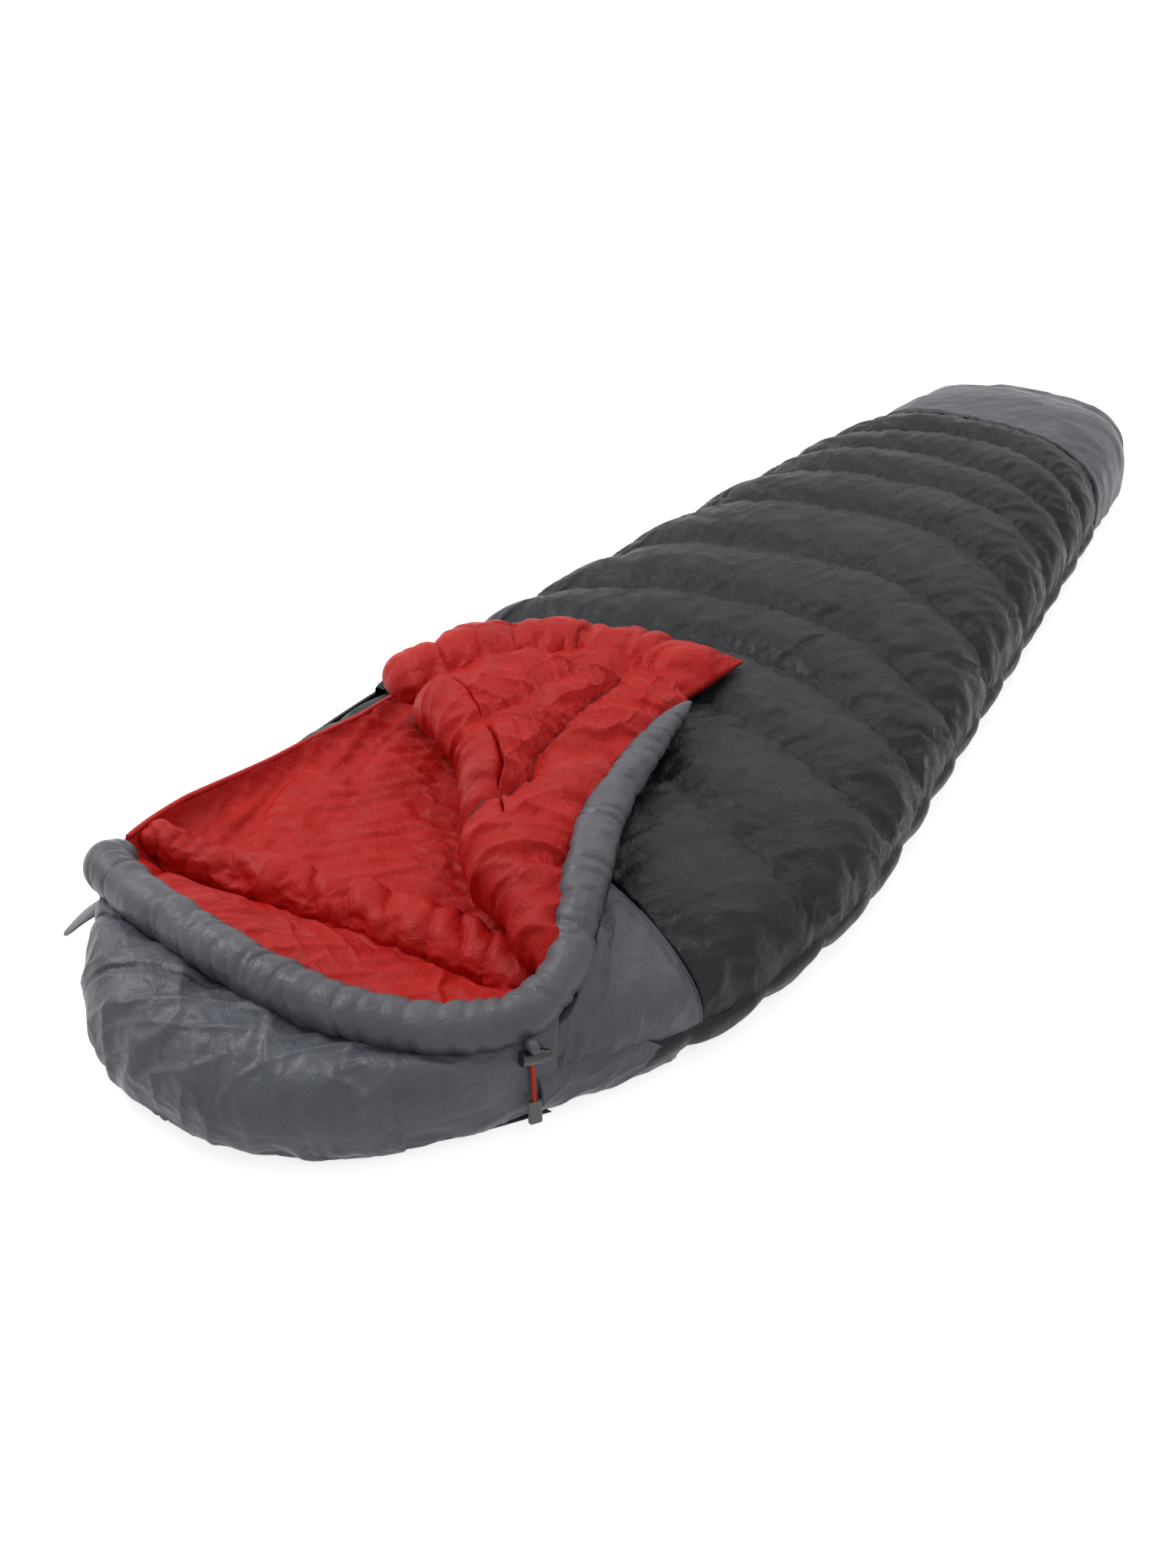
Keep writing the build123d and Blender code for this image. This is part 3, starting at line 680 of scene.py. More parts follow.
def hoodGrid():
    outer = hoodOutline(hood["cols"])
    inner = smoothPath(rimRoute[:9], hood["cols"])
    inner = inner[:, :3] + np.array([0, 0, -0.024])
    # plan share and height from the rim out to the widest line, then a distance in as it goes round under
    profile = smoothPath([(0, 1, 0), (.22, 1.07, 0), (.5, 1.06, 0), (.76, .95, 0), (.93, .70, 0), (1, .42, 0),
                          (1, .20, .006), (1, .05, .024), (1, 0, .050), (1, 0, .075)], hood["rows"])
    reach = np.linalg.norm(outer - inner[:, :2], axis=1)
    share, height = profile[:, 0][:, None] - profile[:, 2][:, None] / reach, profile[:, 1][:, None]
    x = inner[:, 0] + (outer[:, 0] - inner[:, 0]) * share
    y = inner[:, 1] + (outer[:, 1] - inner[:, 1]) * share
    z = inner[:, 2] * height
    return np.stack([x, y, z], axis=-1)


P = facing(hoodGrid(), 20, 120)
x, y, z = P[..., 0], P[..., 1], P[..., 2]
fall = np.linspace(0, 1, hood["rows"])[:, None] + 0 * x
seamLines = [[(-.330, -.985), (-.25, -.96), (-.18, -.965)], [(-.22, -1.05), (-.13, -1.0), (-.06, -.985)]]
valley = sum(np.exp(-distanceTo(P[..., :2], line) / 0.012) for line in seamLines)
dent = 0.010 * np.sin(np.pi * np.clip(fall / 0.7, 0, 1)) - 0.005 * valley
dent += 0.004 * rough(x / 0.12, y / 0.12, 71) + 0.002 * creases(x, y, 73, 0.6, 0.12, 0.04)
dent += 0.0025 * creases(x, y, 75, -0.7, 0.1, 0.03) * np.clip(fall * 2, 0, 1)
P = P + gridNormals(P) * (dent * np.clip(z / 0.03, 0, 1) * edgeFade(P, 34, "lr"))[..., None]
held = heldEdges(P)
held |= z < 0.004
P = settle(P, held, hood["slack"], hood["push"], hood["cap"], calm=edgeFade(P, 40, "lr"))
P[..., 2] = np.maximum(P[..., 2], 0)
near = np.min([distanceTo(P[..., :2], line) for line in seamLines], axis=0)
hoodPiece = clothPiece("hood", P, bag["cloth"], greyShell, {"seam": near - 0.001, "run": x})
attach(hoodPiece, "bag")
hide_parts("hood_shell", "hood_fill")

print("mattress side")
mattress = {"rows": 300, "cols": 110, "bulge": 0.008}


def lipPlace(y):
    # the zip edge of the mattress side: how far in from the outline it leans, and how high it stands
    lean = np.interp(y, [-.86, -.75, -.6, -.45, -.33, -.22, .53], [.0, .006, .030, .052, .050, .010, .004])
    high = np.interp(y, [-.86, -.75, -.6, -.45, -.33, -.22, .53], [.110, .100, .086, .076, .068, .056, .050])
    return lean, high


def underGrid(y, leftTop, rightTop):
    # a tray section: the near lip, out round the side, under, flat along the floor and up the other side
    half, mid = halfWidth(y), centreX(y)
    lean, high = leftTop
    left = [(lean, high), (lean * .55, high * .86), (lean * .1, high * .62), (-.002, .040), (.006, .020),
            (.024, .005), (.05, 0)]
    right = [(.05, 0), (.024, .005), (.006, .020), (.0, .036), (.004, rightTop)]
    return [(mid - half + e, z) for e, z in left] + [(mid + half - e, z) for e, z in right]


def trayGrid(y, cols, leftTop, rightTop):
    # the sections at all stations, spread evenly along the columns and rounded off three times
    columns = underGrid(y, leftTop, rightTop)
    X = np.stack([c[0] + 0 * y for c in columns], axis=1)
    Z = np.stack([c[1] + 0 * y for c in columns], axis=1)
    knots = np.array([0, 1, 2, 3, 4, 5, 6, 12, 13, 14, 15, 16.0])
    want = np.linspace(0, 16, cols)
    x = np.stack([np.interp(want, knots, row) for row in X])
    z = np.stack([np.interp(want, knots, row) for row in Z])
    for _ in range(3):
        x[:, 1:-1] = (x[:, :-2] + 2 * x[:, 1:-1] + x[:, 2:]) / 4
        z[:, 1:-1] = (z[:, :-2] + 2 * z[:, 1:-1] + z[:, 2:]) / 4
    return np.stack([x, y[:, None] + 0 * x, z], axis=-1)


y = np.linspace(bag["hoodSeam"] - 0.02, bag["footSeam"] + 0.01, mattress["rows"])
P = trayGrid(y, mattress["cols"], lipPlace(y), 0.052)
P = facing(P, 100, 55, sign=-1)
beat = np.abs(np.sin((P[..., 1] + 0.02 * P[..., 2]) * math.pi / 0.115)) ** 0.6
bulge = mattress["bulge"] * beat + 0.003 * rough(P[..., 1] / 0.06, P[..., 2] / 0.03, 81)
bulge = bulge * np.clip(P[..., 2] / 0.02, 0, 1)
fromLast, fromFirst = np.abs(P[..., 2] - P[:, -1:, 2]), np.abs(P[..., 2] - P[:, :1, 2])
bulge *= np.clip(fromLast / 0.01, 0, 1) * np.clip(fromFirst / 0.01, 0, 1)
P = P + gridNormals(P) * (bulge * edgeFade(P, 8, "tb") - 0.002)[..., None]
P[..., 2] = np.maximum(P[..., 2], 0)
mattressPiece = clothPiece("mattressSide", P, bag["cloth"], blackShell, noSeam(P))
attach(mattressPiece, "bag")
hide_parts("base_shell", "base_fill")

outer = hoodOutline(140)
middle = np.stack([np.linspace(outer[0, 0], outer[-1, 0], 140) * 0.8, np.full(140, bag["hoodSeam"])], axis=1)
t = smoothPath([(.80, .0), (.5, 0), (0, 0)], 24)
X = middle[:, 0] + (outer[:, 0] - middle[:, 0]) * t[:, :1] * 1.06
Y = middle[:, 1] + (outer[:, 1] - middle[:, 1]) * t[:, :1] * 1.06
P = np.stack([X, Y, 0.0015 + 0 * X], axis=-1)
P = facing(P, 5, 70, sign=-1)
hoodUnder = clothPiece("hoodUnderside", P, 0.001, greyShell, noSeam(P))
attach(hoodUnder, "bag")
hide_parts("hood_base_shell")

print("hood side")
hoodSide = {"rows": 70, "cols": 50, "from": -0.862, "to": -0.650, "proud": 0.0015}
y = np.linspace(hoodSide["from"], hoodSide["to"], hoodSide["rows"])
# (distance in from the outline, height)
sideProfile = [(.010, .072), (.002, .058), (.0, .040), (.006, .020), (.024, .005), (.050, .0)]
profile = smoothPath(sideProfile, hoodSide["cols"])
kept = 1 - 0.85 * smoothStep((y + 0.775) / 0.12)[:, None]
places = np.linspace(0, 1, hoodSide["cols"])
lower = 1 - kept + kept * places
edge = (centreX(y) + halfWidth(y))[:, None]
P = np.stack([edge - np.interp(lower, places, profile[:, 0]), y[:, None] + 0 * lower,
              np.interp(lower, places, profile[:, 1])], axis=-1)
P = facing(P, 30, 25, axis=0)
y = P[..., 1]
swell = 0.004 + 0.002 * rough(y / 0.05, P[..., 2] / 0.03, 87)
swell = swell + 0.002 * creases(y, P[..., 2], 89, 0.6, 0.05, 0.02)
P = P + gridNormals(P) * (swell * edgeFade(P, 10, "lrb") + hoodSide["proud"])[..., None]
P[..., 2] = np.maximum(P[..., 2], 0)
hoodSidePiece = clothPiece("hoodSide", P, bag["cloth"], greyShell, {"seam": P[..., 2] - 0.069, "run": y})
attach(hoodSidePiece, "bag")

print("foot box")
foot = {"rows": 120, "cols": 200, "slack": 0.03, "push": 2.0, "cap": 0.006, "round": 0.036, "bend": 1.059}


def footGrid():
    # the arch and the tray joined to a ring, then drawn in over a rounded edge to close the end
    turn = np.linspace(0, 1, foot["rows"])
    y = bag["footSeam"] + (foot["bend"] - bag["footSeam"]) * np.clip(turn / 0.6, 0, 1)
    bend = np.clip((turn - 0.6) / 0.22, 0, 1) * math.pi / 2
    close = np.clip((turn - 0.82) / 0.18, 0, 1)
    station = y + foot["round"] * np.sin(bend)
    draw = (1 - 0.12 * (1 - np.cos(bend))) * (1 - close)
    top = int(foot["cols"] * 0.58)
    s = np.linspace(0, 1, top)
    rings = dome(y[:, None] + 0 * s, s + 0 * y[:, None], 0.004)
    e = np.linspace(0, 1, foot["cols"] - top + 2)[1:-1]
    right = rings[:, -1, 0][:, None]
    left = rings[:, 0, 0][:, None]
    mid, half = (right + left) / 2, (right - left) / 2
    c, d = np.cos(e * math.pi), np.sin(e * math.pi)
    xs = mid + half * np.sign(c) * np.abs(c) ** 0.35
    zs = bag["baseTop"] * (1 - np.abs(d) ** 0.5) + 0 * xs
    under = np.stack([xs, rings[:, :1, 1] + 0 * xs, zs], axis=-1)
    P = np.concatenate([rings, under], axis=1)
    core = np.stack([mid[:, 0], 0 * y, 0.075 + 0 * y], axis=-1)[:, None]
    flat = core + (P - core) * draw[:, None, None]
    flat[..., 1] = station[:, None]
    return flat


P = outward(footGrid())
x, y, z = P[..., 0], P[..., 1], P[..., 2]
t = np.linspace(0, 1, foot["rows"])[:, None]
dent = 0.006 * np.sin(np.pi * np.clip((y - 0.8) / 0.25, 0, 1)) + 0.004 * rough(x / 0.1, y / 0.09, 91)
nearSeam = np.exp(-(y - 0.8) / 0.08)
dent += 0.0012 * creases(x, y, 93, 0.7, 0.14, 0.04) + 0.0022 * creases(x, y, 95, 1.4, 0.1, 0.03) * nearSeam
P = P + gridNormals(P, True) * (dent * np.clip(z / 0.03, 0, 1) * np.clip((1 - t) * 6, 0, 1))[..., None]
held = (z < 0.01) | (t + 0 * x > 0.95) | (t + 0 * x < 0.005)
P = settle(P, held, foot["slack"], foot["push"], foot["cap"], wrap=True)
P[..., 2] = np.maximum(P[..., 2], 0)
footPiece = rollPiece("footBox", P, greyShell, {"seam": y - bag["footSeam"] - 0.002, "run": x})
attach(footPiece, "bag")
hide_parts("foot_shell", "foot_fill", "foot_base_shell", "foot_lining")

print("mattress lining")
lining = {"rows": 260, "cols": 130, "slack": 0.04, "push": 1.0, "cap": 0.006}
y = np.r_[np.linspace(-0.875, -0.25, 200), np.linspace(-0.24, 0.79, lining["rows"] - 200)][:, None]
v = np.linspace(0, 1, lining["cols"])[None, :]
lean, high = lipPlace(y)
left = centreX(y) - halfWidth(y) + lean + 0.002
right = centreX(y) + halfWidth(y) - 0.045
x = left + (right - left) * v
near = x - left
z = 0.052 + (high - 0.052) * np.exp(-near / 0.030)
z = z + 0.012 * smoothStep(near / 0.12) * smoothStep((-0.3 - y) / 0.2)
a = (x - foldStart[0]) * foldAlong[0] + (y - foldStart[1]) * foldAlong[1]
b = (x - foldStart[0]) * foldAway[0] + (y - foldStart[1]) * foldAway[1]
pleat = np.abs(np.sin(a * math.pi / 0.027 + 2.2 * grain(a / 0.1, b / 0.3, 101))) ** 0.5
z = z - 0.004 * (1 - pleat) * smoothStep((b + 0.24) / 0.12) * smoothStep((a - 0.02) / 0.1)
zipFolds = creases(x, y, 103, 1.86, 0.5, 0.030, 1.6)
z = z + 0.008 * zipFolds * np.exp(-np.abs(near - 0.05) / 0.05) + 0.004 * rough(x / 0.14, y / 0.14, 105)
z = z - 0.02 * smoothStep((-0.80 - y) / 0.05) * smoothStep((near - 0.01) / 0.05)
z = z + 0.0022 * creases(x, y, 107, 0.75, 0.16, 0.035) + 0.002 * creases(x, y, 109, 0.2, 0.1, 0.03)
P = np.stack([x, y + 0 * x, z], axis=-1)
P = facing(P, 60, 60)
held = heldEdges(P)
held[200:] = True
liningNotes = {"seam": x * 0 + 1, "run": x}
P = settle(P, held, lining["slack"], lining["push"], lining["cap"])
liningPiece = clothPiece("mattressLining", P, bag["cloth"], redLining, liningNotes)
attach(liningPiece, "bag")
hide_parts("base_lining")

print("hood lining")
hoodLining = {"rows": 90, "cols": 180, "slack": 0.04, "push": 1.5, "cap": 0.006}
creaseLine = [(-.343, -.853), (-.26, -.838), (-.188, -.822), (-.112, -.808), (-.056, -.795), (.04, -.790),
              (.146, -.782), (.235, -.765)]
sideDent = [(-.285, -.85), (-.262, -.90), (-.235, -.93)]
near = smoothPath([(*p, 0.055) for p in creaseLine], hoodLining["cols"])
near[:, 2] += 0.030 * np.exp(-np.linspace(0, 1, hoodLining["cols"]) / 0.03)
far = smoothPath([(-.338, -.866, .100)] + [p[:3] for p in rimRoute[1:9]], hoodLining["cols"])
t = np.linspace(0, 1, hoodLining["rows"])[:, None]
x = near[:, 0] + (far[:, 0] - near[:, 0]) * t
y = near[:, 1] + (far[:, 1] - near[:, 1]) * t
z = near[:, 2] + (far[:, 2] - near[:, 2] - 0.004) * t ** 0.9 + 0.024 * np.sin(np.pi * t) ** 0.7
z = z + 0.005 * rough(x / 0.13, y / 0.1, 111) + 0.003 * creases(x, y, 113, -0.5, 0.14, 0.05)
z = z + 0.002 * creases(x, y, 115, 0.9, 0.1, 0.03)
z = z - 0.014 * np.exp(-distanceTo(np.stack([x, y], -1), sideDent) / 0.010)
P = np.stack([x, y, z], axis=-1)
P = facing(P, 40, 90)
held = heldEdges(P)
P = settle(P, held, hoodLining["slack"], hoodLining["push"], hoodLining["cap"])
hoodLiningPiece = clothPiece("hoodLining", P, bag["cloth"], redLining, {"seam": x * 0 + 1, "run": x})
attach(hoodLiningPiece, "bag")
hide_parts("hood_lining")

print("draft collar")
collar = {"rows": 200, "around": 56, "slack": 0.06, "push": 3.0, "cap": 0.008}
# (x, y, z, half width, half height)
collarRoute = [(-.352, -.828, .096, .024, .026), (-.27, -.812, .078, .034, .028),
               (-.188, -.790, .072, .038, .030), (-.10, -.772, .070, .040, .030),
               (-.02, -.758, .070, .042, .030), (.06, -.748, .070, .044, .030),
               (.14, -.748, .072, .042, .028), (.21, -.765, .078, .034, .024)]
path = smoothPath(collarRoute, collar["rows"])
ends = roundEnds(collar["rows"], 0.05)
P = outward(ringsAlong(path[:, :3], path[:, 3] * ends, path[:, 4] * ends, collar["around"], 2.3))
run = np.linspace(0, 0.6, collar["rows"])[:, None]
turn = np.linspace(0, 2 * math.pi, collar["around"], endpoint=False)[None, :]
dent = 0.006 * rough(run / 0.07, np.sin(turn), 121)
dent = dent - 0.006 * creases(run, 0.05 * np.cos(turn), 123, 1.3, 0.12, 0.05, 2)
P = P + gridNormals(P, True) * (dent * ends[:, None])[..., None]
held = np.zeros(P.shape[:2], bool)
held[:2] = held[-2:] = True
held[np.arange(len(P)), np.argmin(P[..., 1], axis=1)] = True
P = settle(P, held, collar["slack"], collar["push"], collar["cap"], wrap=True)
collarPiece = rollPiece("draftCollar", P, redLining, noSeam(P))
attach(collarPiece, "bag")
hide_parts("draft_collar")

print("flap")
flap = {"under": 14, "nose": 34, "rows": 150, "cols": 200, "radius": 0.038, "endRadius": 0.020, "slack": 0.05,
        "push": 3.0, "cap": 0.008}
# places on the flap: (along the fold, away from it)
noseLine = [(.105, .004), (.17, -.022), (.22, -.014), (.283, -.012), (.36, -.014), (.407, -.022),
            (.449, -.037), (.50, -.046), (.536, -.048), (.57, -.044), (.62, -.034), (.67, -.030),
            (.735, -.022)]
draftSide = [(.105, .03), (.108, .07), (.115, .12), (.130, .18), (.160, .235), (.200, .285)]
rimSide = [(.739, .000), (.675, .024), (.6075, .060), (.536, .096), (.471, .144), (.415, .190),
           (.357, .244), (.310, .285)]
flapSeams = [[(.475, -.06), (.449, .009), (.426, .046), (.381, .064), (.344, .101), (.309, .132),
              (.283, .162), (.232, .222)],
             [(.60, -.05), (.585, -.015), (.60, .02), (.585, .06)],
             [(.300, -.03), (.285, .03), (.262, .075), (.225, .12), (.205, .165)]]


def flapGrid():
    # a patch between four edges for the top, joined to a half round over the fold and a strip beneath it
    q = np.linspace(0, 1, flap["rows"])[:, None]
    p = np.linspace(0, 1, flap["cols"])[None, :]
    tip = smoothPath(noseLine, flap["cols"])
    radius = flap["radius"] + (flap["endRadius"] - flap["radius"]) * smoothStep((p[0] - 0.78) / 0.22)
    bottom = tip + np.stack([0 * radius, radius], axis=1)
    left, right = smoothPath(draftSide, flap["rows"]), smoothPath(rimSide, flap["rows"])
    left[0], right[0] = bottom[0], bottom[-1]
    left = smoothPath(left, flap["rows"])
    right = smoothPath(right, flap["rows"])
    top = left[-1] + (right[-1] - left[-1]) * p[0][:, None]
    ab = patch(bottom, top, left, right, p, q)
    z = np.full(ab.shape[:2], foldHeight) + radius[None, :]
    z = z + (flap["radius"] - radius[None, :]) * smoothStep(q / 0.3) - 0.014 * smoothStep((q - 0.75) / 0.25)
    z = z - 0.012 * smoothStep((p - 0.8) / 0.2) - 0.010 * smoothStep((0.12 - p) / 0.12)
    turn = np.linspace(0, math.pi, flap["nose"], endpoint=False)[:, None]
    noseB = bottom[None, :, 1] - radius * np.sin(turn)
    noseZ = foldHeight - radius * np.cos(turn) + 0 * noseB
    underB = bottom[None, :, 1] + np.linspace(0.016, 0.001, flap["under"])[:, None]
    b = np.concatenate([underB, noseB, ab[..., 1]])
    a = np.concatenate([bottom[None, :, 0] + 0 * underB, bottom[None, :, 0] + 0 * noseB, ab[..., 0]])
    z = np.concatenate([foldHeight - radius + 0 * underB, noseZ, z])
    z = foldHeight + (z - foldHeight) * (1 - 0.45 * smoothStep((0.24 - a) / 0.16))
    z = z - 0.022 * smoothStep((0.22 - a) / 0.12) * smoothStep((0.09 - b) / 0.12)
    return a, b, z


a, b, z = flapGrid()
P = fromFold(a, b, z)
tuckLine = [(.228, -.842, .108), (.240, -.815, .118), (.246, -.785, .134)]
tuck = smoothPath(tuckLine, flap["under"] + flap["nose"])
row = np.arange(len(tuck))
blendIn = smoothStep((np.linspace(0, 1, flap["cols"]) - 0.955) / 0.045)[None, :, None]
P[row] = P[row] * (1 - blendIn) + tuck[:, None] * blendIn
if gridNormals(P)[120, 100, 2] < 0:
    P, a, b = P[:, ::-1], a[:, ::-1], b[:, ::-1]
plan = np.stack([a, b], axis=-1)
gaps = [distanceTo(plan, line) for line in flapSeams]
depth = [0.020, 0.012, 0.010]
onNose = 0.4 + 0.6 * smoothStep((b + 0.035) / 0.06)
swell = 0.010 - sum(d * np.exp(-g / 0.020) for d, g in zip(depth, gaps)) * onNose
swell += 0.006 * rough(a / 0.12, b / 0.09, 131) + 0.005 * creases(a, b, 133, 0.9, 0.16, 0.045)
swell += 0.004 * creases(a, b, 135, 2.3, 0.14, 0.05)
swell += 0.0035 * (creases(a, b, 137, 0.15, 0.08, 0.018) - 0.3) * sum(np.exp(-g / 0.03) for g in gaps)
P = P + gridNormals(P) * (swell * edgeFade(P, 12, "lr"))[..., None]
held = np.minimum.reduce(gaps) < 0.003
held[[0, -1]] = True
held[:, [0, -1]] = True
held[:flap["under"]] = True
P = settle(P, held, flap["slack"], flap["push"], flap["cap"], calm=edgeFade(P, 8, "lr"))
noseEnd = flap["under"] + flap["nose"] + 8
for _ in range(3):
    P[1:noseEnd] = (P[:noseEnd - 1] + 2 * P[1:noseEnd] + P[2:noseEnd + 1]) / 4
seamValue = gaps[0] - 0.0005
flapPiece = clothPiece("flapLining", P, bag["cloth"], redLining, {"seam": seamValue, "run": a})
middle = np.array([*((foldStart + foldEnd) / 2), foldHeight])
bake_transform(flapPiece)
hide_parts("flap_lining", "flap_fill", "top_lining")

print("flap shell")
q = np.linspace(0, 1, 60)[:, None]
p = np.linspace(0, 1, 120)[None, :]
shellSide = [(.022, .004), (.022, .05), (.024, .11), (.032, .17), (.060, .23), (.105, .285), (.185, .335)]
left, right = smoothPath(shellSide, 60), smoothPath(rimSide, 60)
baseA = np.linspace(left[0, 0], right[0, 0], 120)
inNose = smoothStep((baseA - 0.105) / 0.05) * smoothStep((0.72 - baseA) / 0.05)
base = np.stack([baseA, 0.004 + (np.interp(baseA, *np.array(noseLine).T) + 0.008) * inNose], axis=1)
top = left[-1] + (right[-1] - left[-1]) * p[0][:, None]
ab = patch(base, top, left, right, p, q)
P = fromFold(ab[..., 0], ab[..., 1], 0.126 + 0.003 * rough(ab[..., 0] / 0.08, ab[..., 1] / 0.08, 141))
coverLevel = dome(P[..., 1], acrossAt(P[..., 0], P[..., 1]))[..., 2]
P[..., 2] = np.minimum(P[..., 2], coverLevel - 0.014 - 0.004 * np.sin(np.pi * q) * np.sin(np.pi * p))
P = facing(P, 30, 60, sign=-1)
flapShellPiece = clothPiece("flapShell", P, bag["cloth"], blackShell, noSeam(P))
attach(flapShellPiece, "flap")
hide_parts("flap_shell")

print("draft tube")
draft = {"rows": 190, "around": 60, "slack": 0.08, "push": 4.0, "cap": 0.010}
# (along the fold, away from it, z, half width, half height)
draftRoute = [(.092, -.046, .104, .044, .022), (.086, -.030, .130, .050, .026),
              (.084, .010, .148, .054, .027), (.085, .06, .157, .056, .028), (.090, .11, .160, .056, .029),
              (.100, .17, .160, .056, .029), (.130, .23, .160, .058, .028), (.175, .28, .160, .064, .025),
              (.222, .315, .160, .074, .018), (.255, .336, .158, .082, .008)]
path = smoothPath(draftRoute, draft["rows"])
world = fromFold(path[:, 0], path[:, 1], path[:, 2])
ends = np.r_[roundEnds(draft["rows"], 0.08)[:95], np.ones(draft["rows"] - 95)]
P = outward(ringsAlong(world, path[:, 3] * ends, path[:, 4] * ends, draft["around"], 2.2))
run = np.linspace(0, 0.5, draft["rows"])[:, None]
turn = np.linspace(0, 2 * math.pi, draft["around"], endpoint=False)[None, :]
lobes = np.abs(np.sin(run * math.pi / 0.105 + 0.5)) ** 0.5
dent = -0.008 * (1 - lobes) + 0.006 * rough(run / 0.06, np.sin(turn), 151)
dent = dent - 0.004 * creases(run, 0.05 * np.cos(turn), 153, 1.2, 0.1, 0.04, 2)
P = P + gridNormals(P, True) * (dent * ends[:, None] * path[:, 4:5] / 0.028)[..., None]
inward = (P - world[:, None]) @ np.array([*foldAlong, 0])
held = np.zeros(P.shape[:2], bool)
held[:2] = held[-2:] = True
held[np.arange(len(P)), np.argmax(inward, axis=1)] = True
held[np.arange(len(P)), np.argmin(inward, axis=1)] = True
P = settle(P, held, draft["slack"], draft["push"], draft["cap"], wrap=True)
draftPiece = rollPiece("draftTube", P, redLining, noSeam(P))
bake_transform(draftPiece)
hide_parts("flap_draft_tube")

print("piping")
path = smoothPath(rimRoute[1:12], 300)
run = np.gradient(path[:, :3], axis=0)
side = np.cross(run / np.linalg.norm(run, axis=1, keepdims=True), np.array([0, 0, 1.0]))
path = path[:, :3] + side * (path[:, 3:] * 0.80) - np.array([0, 0, 0.80]) * path[:, 3:]
P = outward(ringsAlong(path, 0.0045 * roundEnds(300, 0.01), 0.0045 * roundEnds(300, 0.01), 12))
pipingPiece = rollPiece("rimPiping", P, blackTape)
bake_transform(pipingPiece)
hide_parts("rim_piping")
y = np.linspace(-0.86, 0.52, 500)
lean, high = lipPlace(y)
path = np.stack([centreX(y) - halfWidth(y) + lean + 0.001, y, high + 0.002], axis=1)
P = outward(ringsAlong(path, 0.0035 * roundEnds(500, 0.005), 0.0035 * roundEnds(500, 0.005), 10))
edgePiece = rollPiece("zipEdge", P, redEdge)
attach(edgePiece, "bag")

print("closure tab")
tab = {"rows": 60, "cols": 30, "long": 0.078, "wide": 0.036, "slope": math.radians(40)}
tabRoot = np.array([-.3075, -.9285, .074])
tabOut = np.array([-.8577, -.5141, 0])
tabAlong = np.array([.5141, -.8577, 0])
u = np.linspace(0, 1, tab["rows"])[:, None]
w = np.linspace(-1, 1, tab["cols"])[None, :]
roundTip = np.sqrt(np.clip(1 - (np.clip(u - 0.62, 0, 1) / 0.385) ** 2, 0.001, 1))
halfTab = tab["wide"] / 2 * roundTip * (0.9 + 0.1 * np.sin(u * 3))
drop = u * tab["long"]
bow = 0.004 * np.sin(u * math.pi) - 0.002 * w ** 2
P = (tabRoot + tabOut * (drop * math.cos(tab["slope"]))[..., None] + tabAlong * (w * halfTab)[..., None]
     + np.array([0, 0, 1]) * (bow - drop * math.sin(tab["slope"]))[..., None])
P = facing(P, 20, 15)
tabNotes = {"seam": (1 - np.abs(w)) * 0.018 - 0.004 + 0 * u, "run": drop + 0 * w}
tabPiece = clothPiece("closureTab", P, 0.0022, greyShell, tabNotes)
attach(tabPiece, "tab")
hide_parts("closure_tab")

print("drawcord")
lockPlace = np.array([0.2685, -0.8680, 0.0])
lockOut = np.array([0.909, -0.416, 0])
lockAlong = np.array([0.416, 0.909, 0])
cordRoute = [(0, 0, .1178), (0, 0, .084), (.003, -.001, .066), (.006, -.002, .054), (.0084, -.0028, .0445)]
cordPoints = [lockPlace + lockOut * (x + 0.003) + lockAlong * y + np.array([0, 0, z])
              for x, y, z in cordRoute]
line = bpy.data.curves.new("drawcordLine", "CURVE")
line.dimensions = "3D"
line.bevel_depth = 0.0025
line.bevel_resolution = 5
line.use_fill_caps = True
line.resolution_u = 24
spline = line.splines.new("NURBS")
spline.points.add(len(cordPoints) - 1)
for point, place in zip(spline.points, cordPoints):
    point.co = (*place, 1)
spline.order_u = 3
spline.use_endpoint_u = True
line.materials.append(cordRed)
cordPiece = bpy.data.objects.new("drawcordRun", line)
bpy.context.scene.collection.objects.link(cordPiece)
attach(cordPiece, "bag")
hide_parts("drawcord")

path = np.array([lockPlace + lockOut * 0.004 + lockAlong * t + np.array([0, 0, 0.114])
                 for t in np.linspace(-0.006, 0.006, 12)])
P = outward(ringsAlong(path, 0.010 * roundEnds(12, 0.3), 0.0065 * roundEnds(12, 0.3), 20))
channelPiece = rollPiece("cordChannel", P, rimCloth)
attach(channelPiece, "bag")
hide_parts("cord_channel")

print("floor, lights and camera")
studio = {"azimuth": 35.7, "elevation": 33.9, "distance": 2.347, "target": (-0.091, -0.288, -0.026),
          "lens": 38.56, "floorHalf": 30, "floorDrop": 0.0015}
# azimuth, elevation, distance, size in metres, power in watts
lamps = {"key": (-75, 50, 3.2, 1.4, 42), "fill": (60, 45, 3.4, 2.2, 10), "back": (190, 60, 3.6, 2.0, 20)}


def lookFrom(azimuth, elevation, distance, target):
    # the place at that distance from the target: azimuth 0 looks along +Y
    a, e = math.radians(azimuth), math.radians(elevation)
    ray = np.array([math.sin(a) * math.cos(e), -math.cos(a) * math.cos(e), math.sin(e)])
    return np.array(target) + distance * ray


def aim(thing, place, target):
    thing.location = place
    ray = mathutils.Vector(target) - mathutils.Vector(place)
    thing.rotation_euler = ray.to_track_quat("-Z", "Y").to_euler()


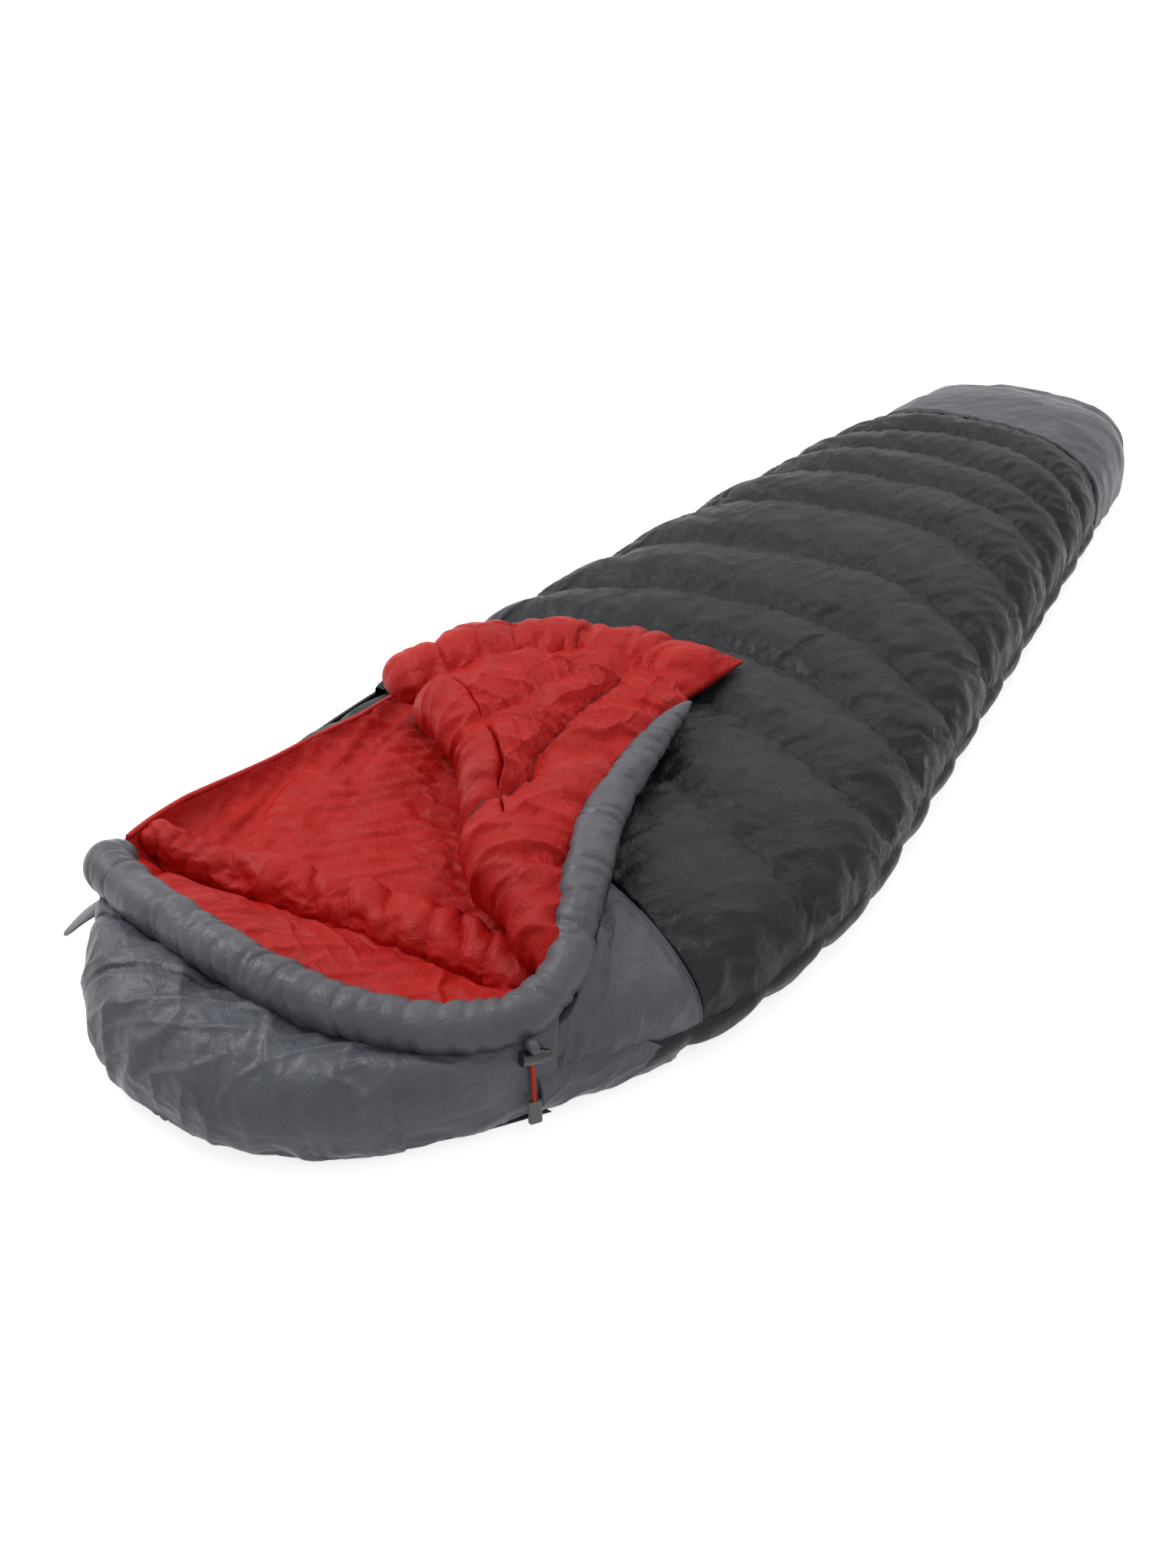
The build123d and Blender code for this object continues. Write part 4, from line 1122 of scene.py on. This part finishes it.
def seenRays(tree):
    # 1 for the rays from the camera, in reflections and through clear pieces, and 0 for the rest
    rays = addNode(tree, "ShaderNodeLightPath").outputs
    other = math2(tree, "MAXIMUM", rays["Is Glossy Ray"], rays["Is Transmission Ray"])
    return math2(tree, "MAXIMUM", rays["Is Camera Ray"], other)


camera = bpy.data.objects.new("camera", bpy.data.cameras.new("camera"))
camera.data.lens = studio["lens"]
camera.data.sensor_width = 36
bpy.context.scene.collection.objects.link(camera)
cameraPlace = lookFrom(studio["azimuth"], studio["elevation"], studio["distance"], studio["target"])
aim(camera, cameraPlace, studio["target"])
bpy.context.scene.camera = camera

floorMesh = bpy.data.meshes.new("floor")
far, drop = studio["floorHalf"], studio["floorDrop"]
corners = [(-far, -far, -drop), (far, -far, -drop), (far, far, -drop), (-far, far, -drop)]
floorMesh.from_pydata(corners, [], [(0, 1, 2, 3)])
floor = bpy.data.objects.new("floor", floorMesh)
bpy.context.scene.collection.objects.link(floor)
floor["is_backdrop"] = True
white, tree, shader = startMaterial("paleFloor", 0.9)
shader.inputs["Base Color"].default_value = (0.9, 0.9, 0.9, 1)
shader.inputs["Emission Color"].default_value = (1, 1, 1, 1)
tree.links.new(math2(tree, "MULTIPLY", seenRays(tree), 0.75), shader.inputs["Emission Strength"])
floorMesh.materials.append(white)

world = bpy.data.worlds.new("studio")
bpy.context.scene.world = world
world.use_nodes = True
tree = world.node_tree
back = tree.nodes["Background"]
back.inputs["Color"].default_value = (1, 1, 1, 1)
strength = math2(tree, "ADD", math2(tree, "MULTIPLY", seenRays(tree), 0.68), 0.32)
tree.links.new(strength, back.inputs["Strength"])

for name, (azimuth, elevation, distance, size, power) in lamps.items():
    lamp = bpy.data.objects.new(name, bpy.data.lights.new(name, "AREA"))
    lamp.data.size = size
    lamp.data.energy = power
    bpy.context.scene.collection.objects.link(lamp)
    aim(lamp, lookFrom(azimuth, elevation, distance, (0, -0.1, 0)), (0, -0.1, 0.05))

bpy.context.scene.view_settings.view_transform = "Standard"

low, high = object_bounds()
print("visual box", [round(v, 3) for v in low], [round(v, 3) for v in high])
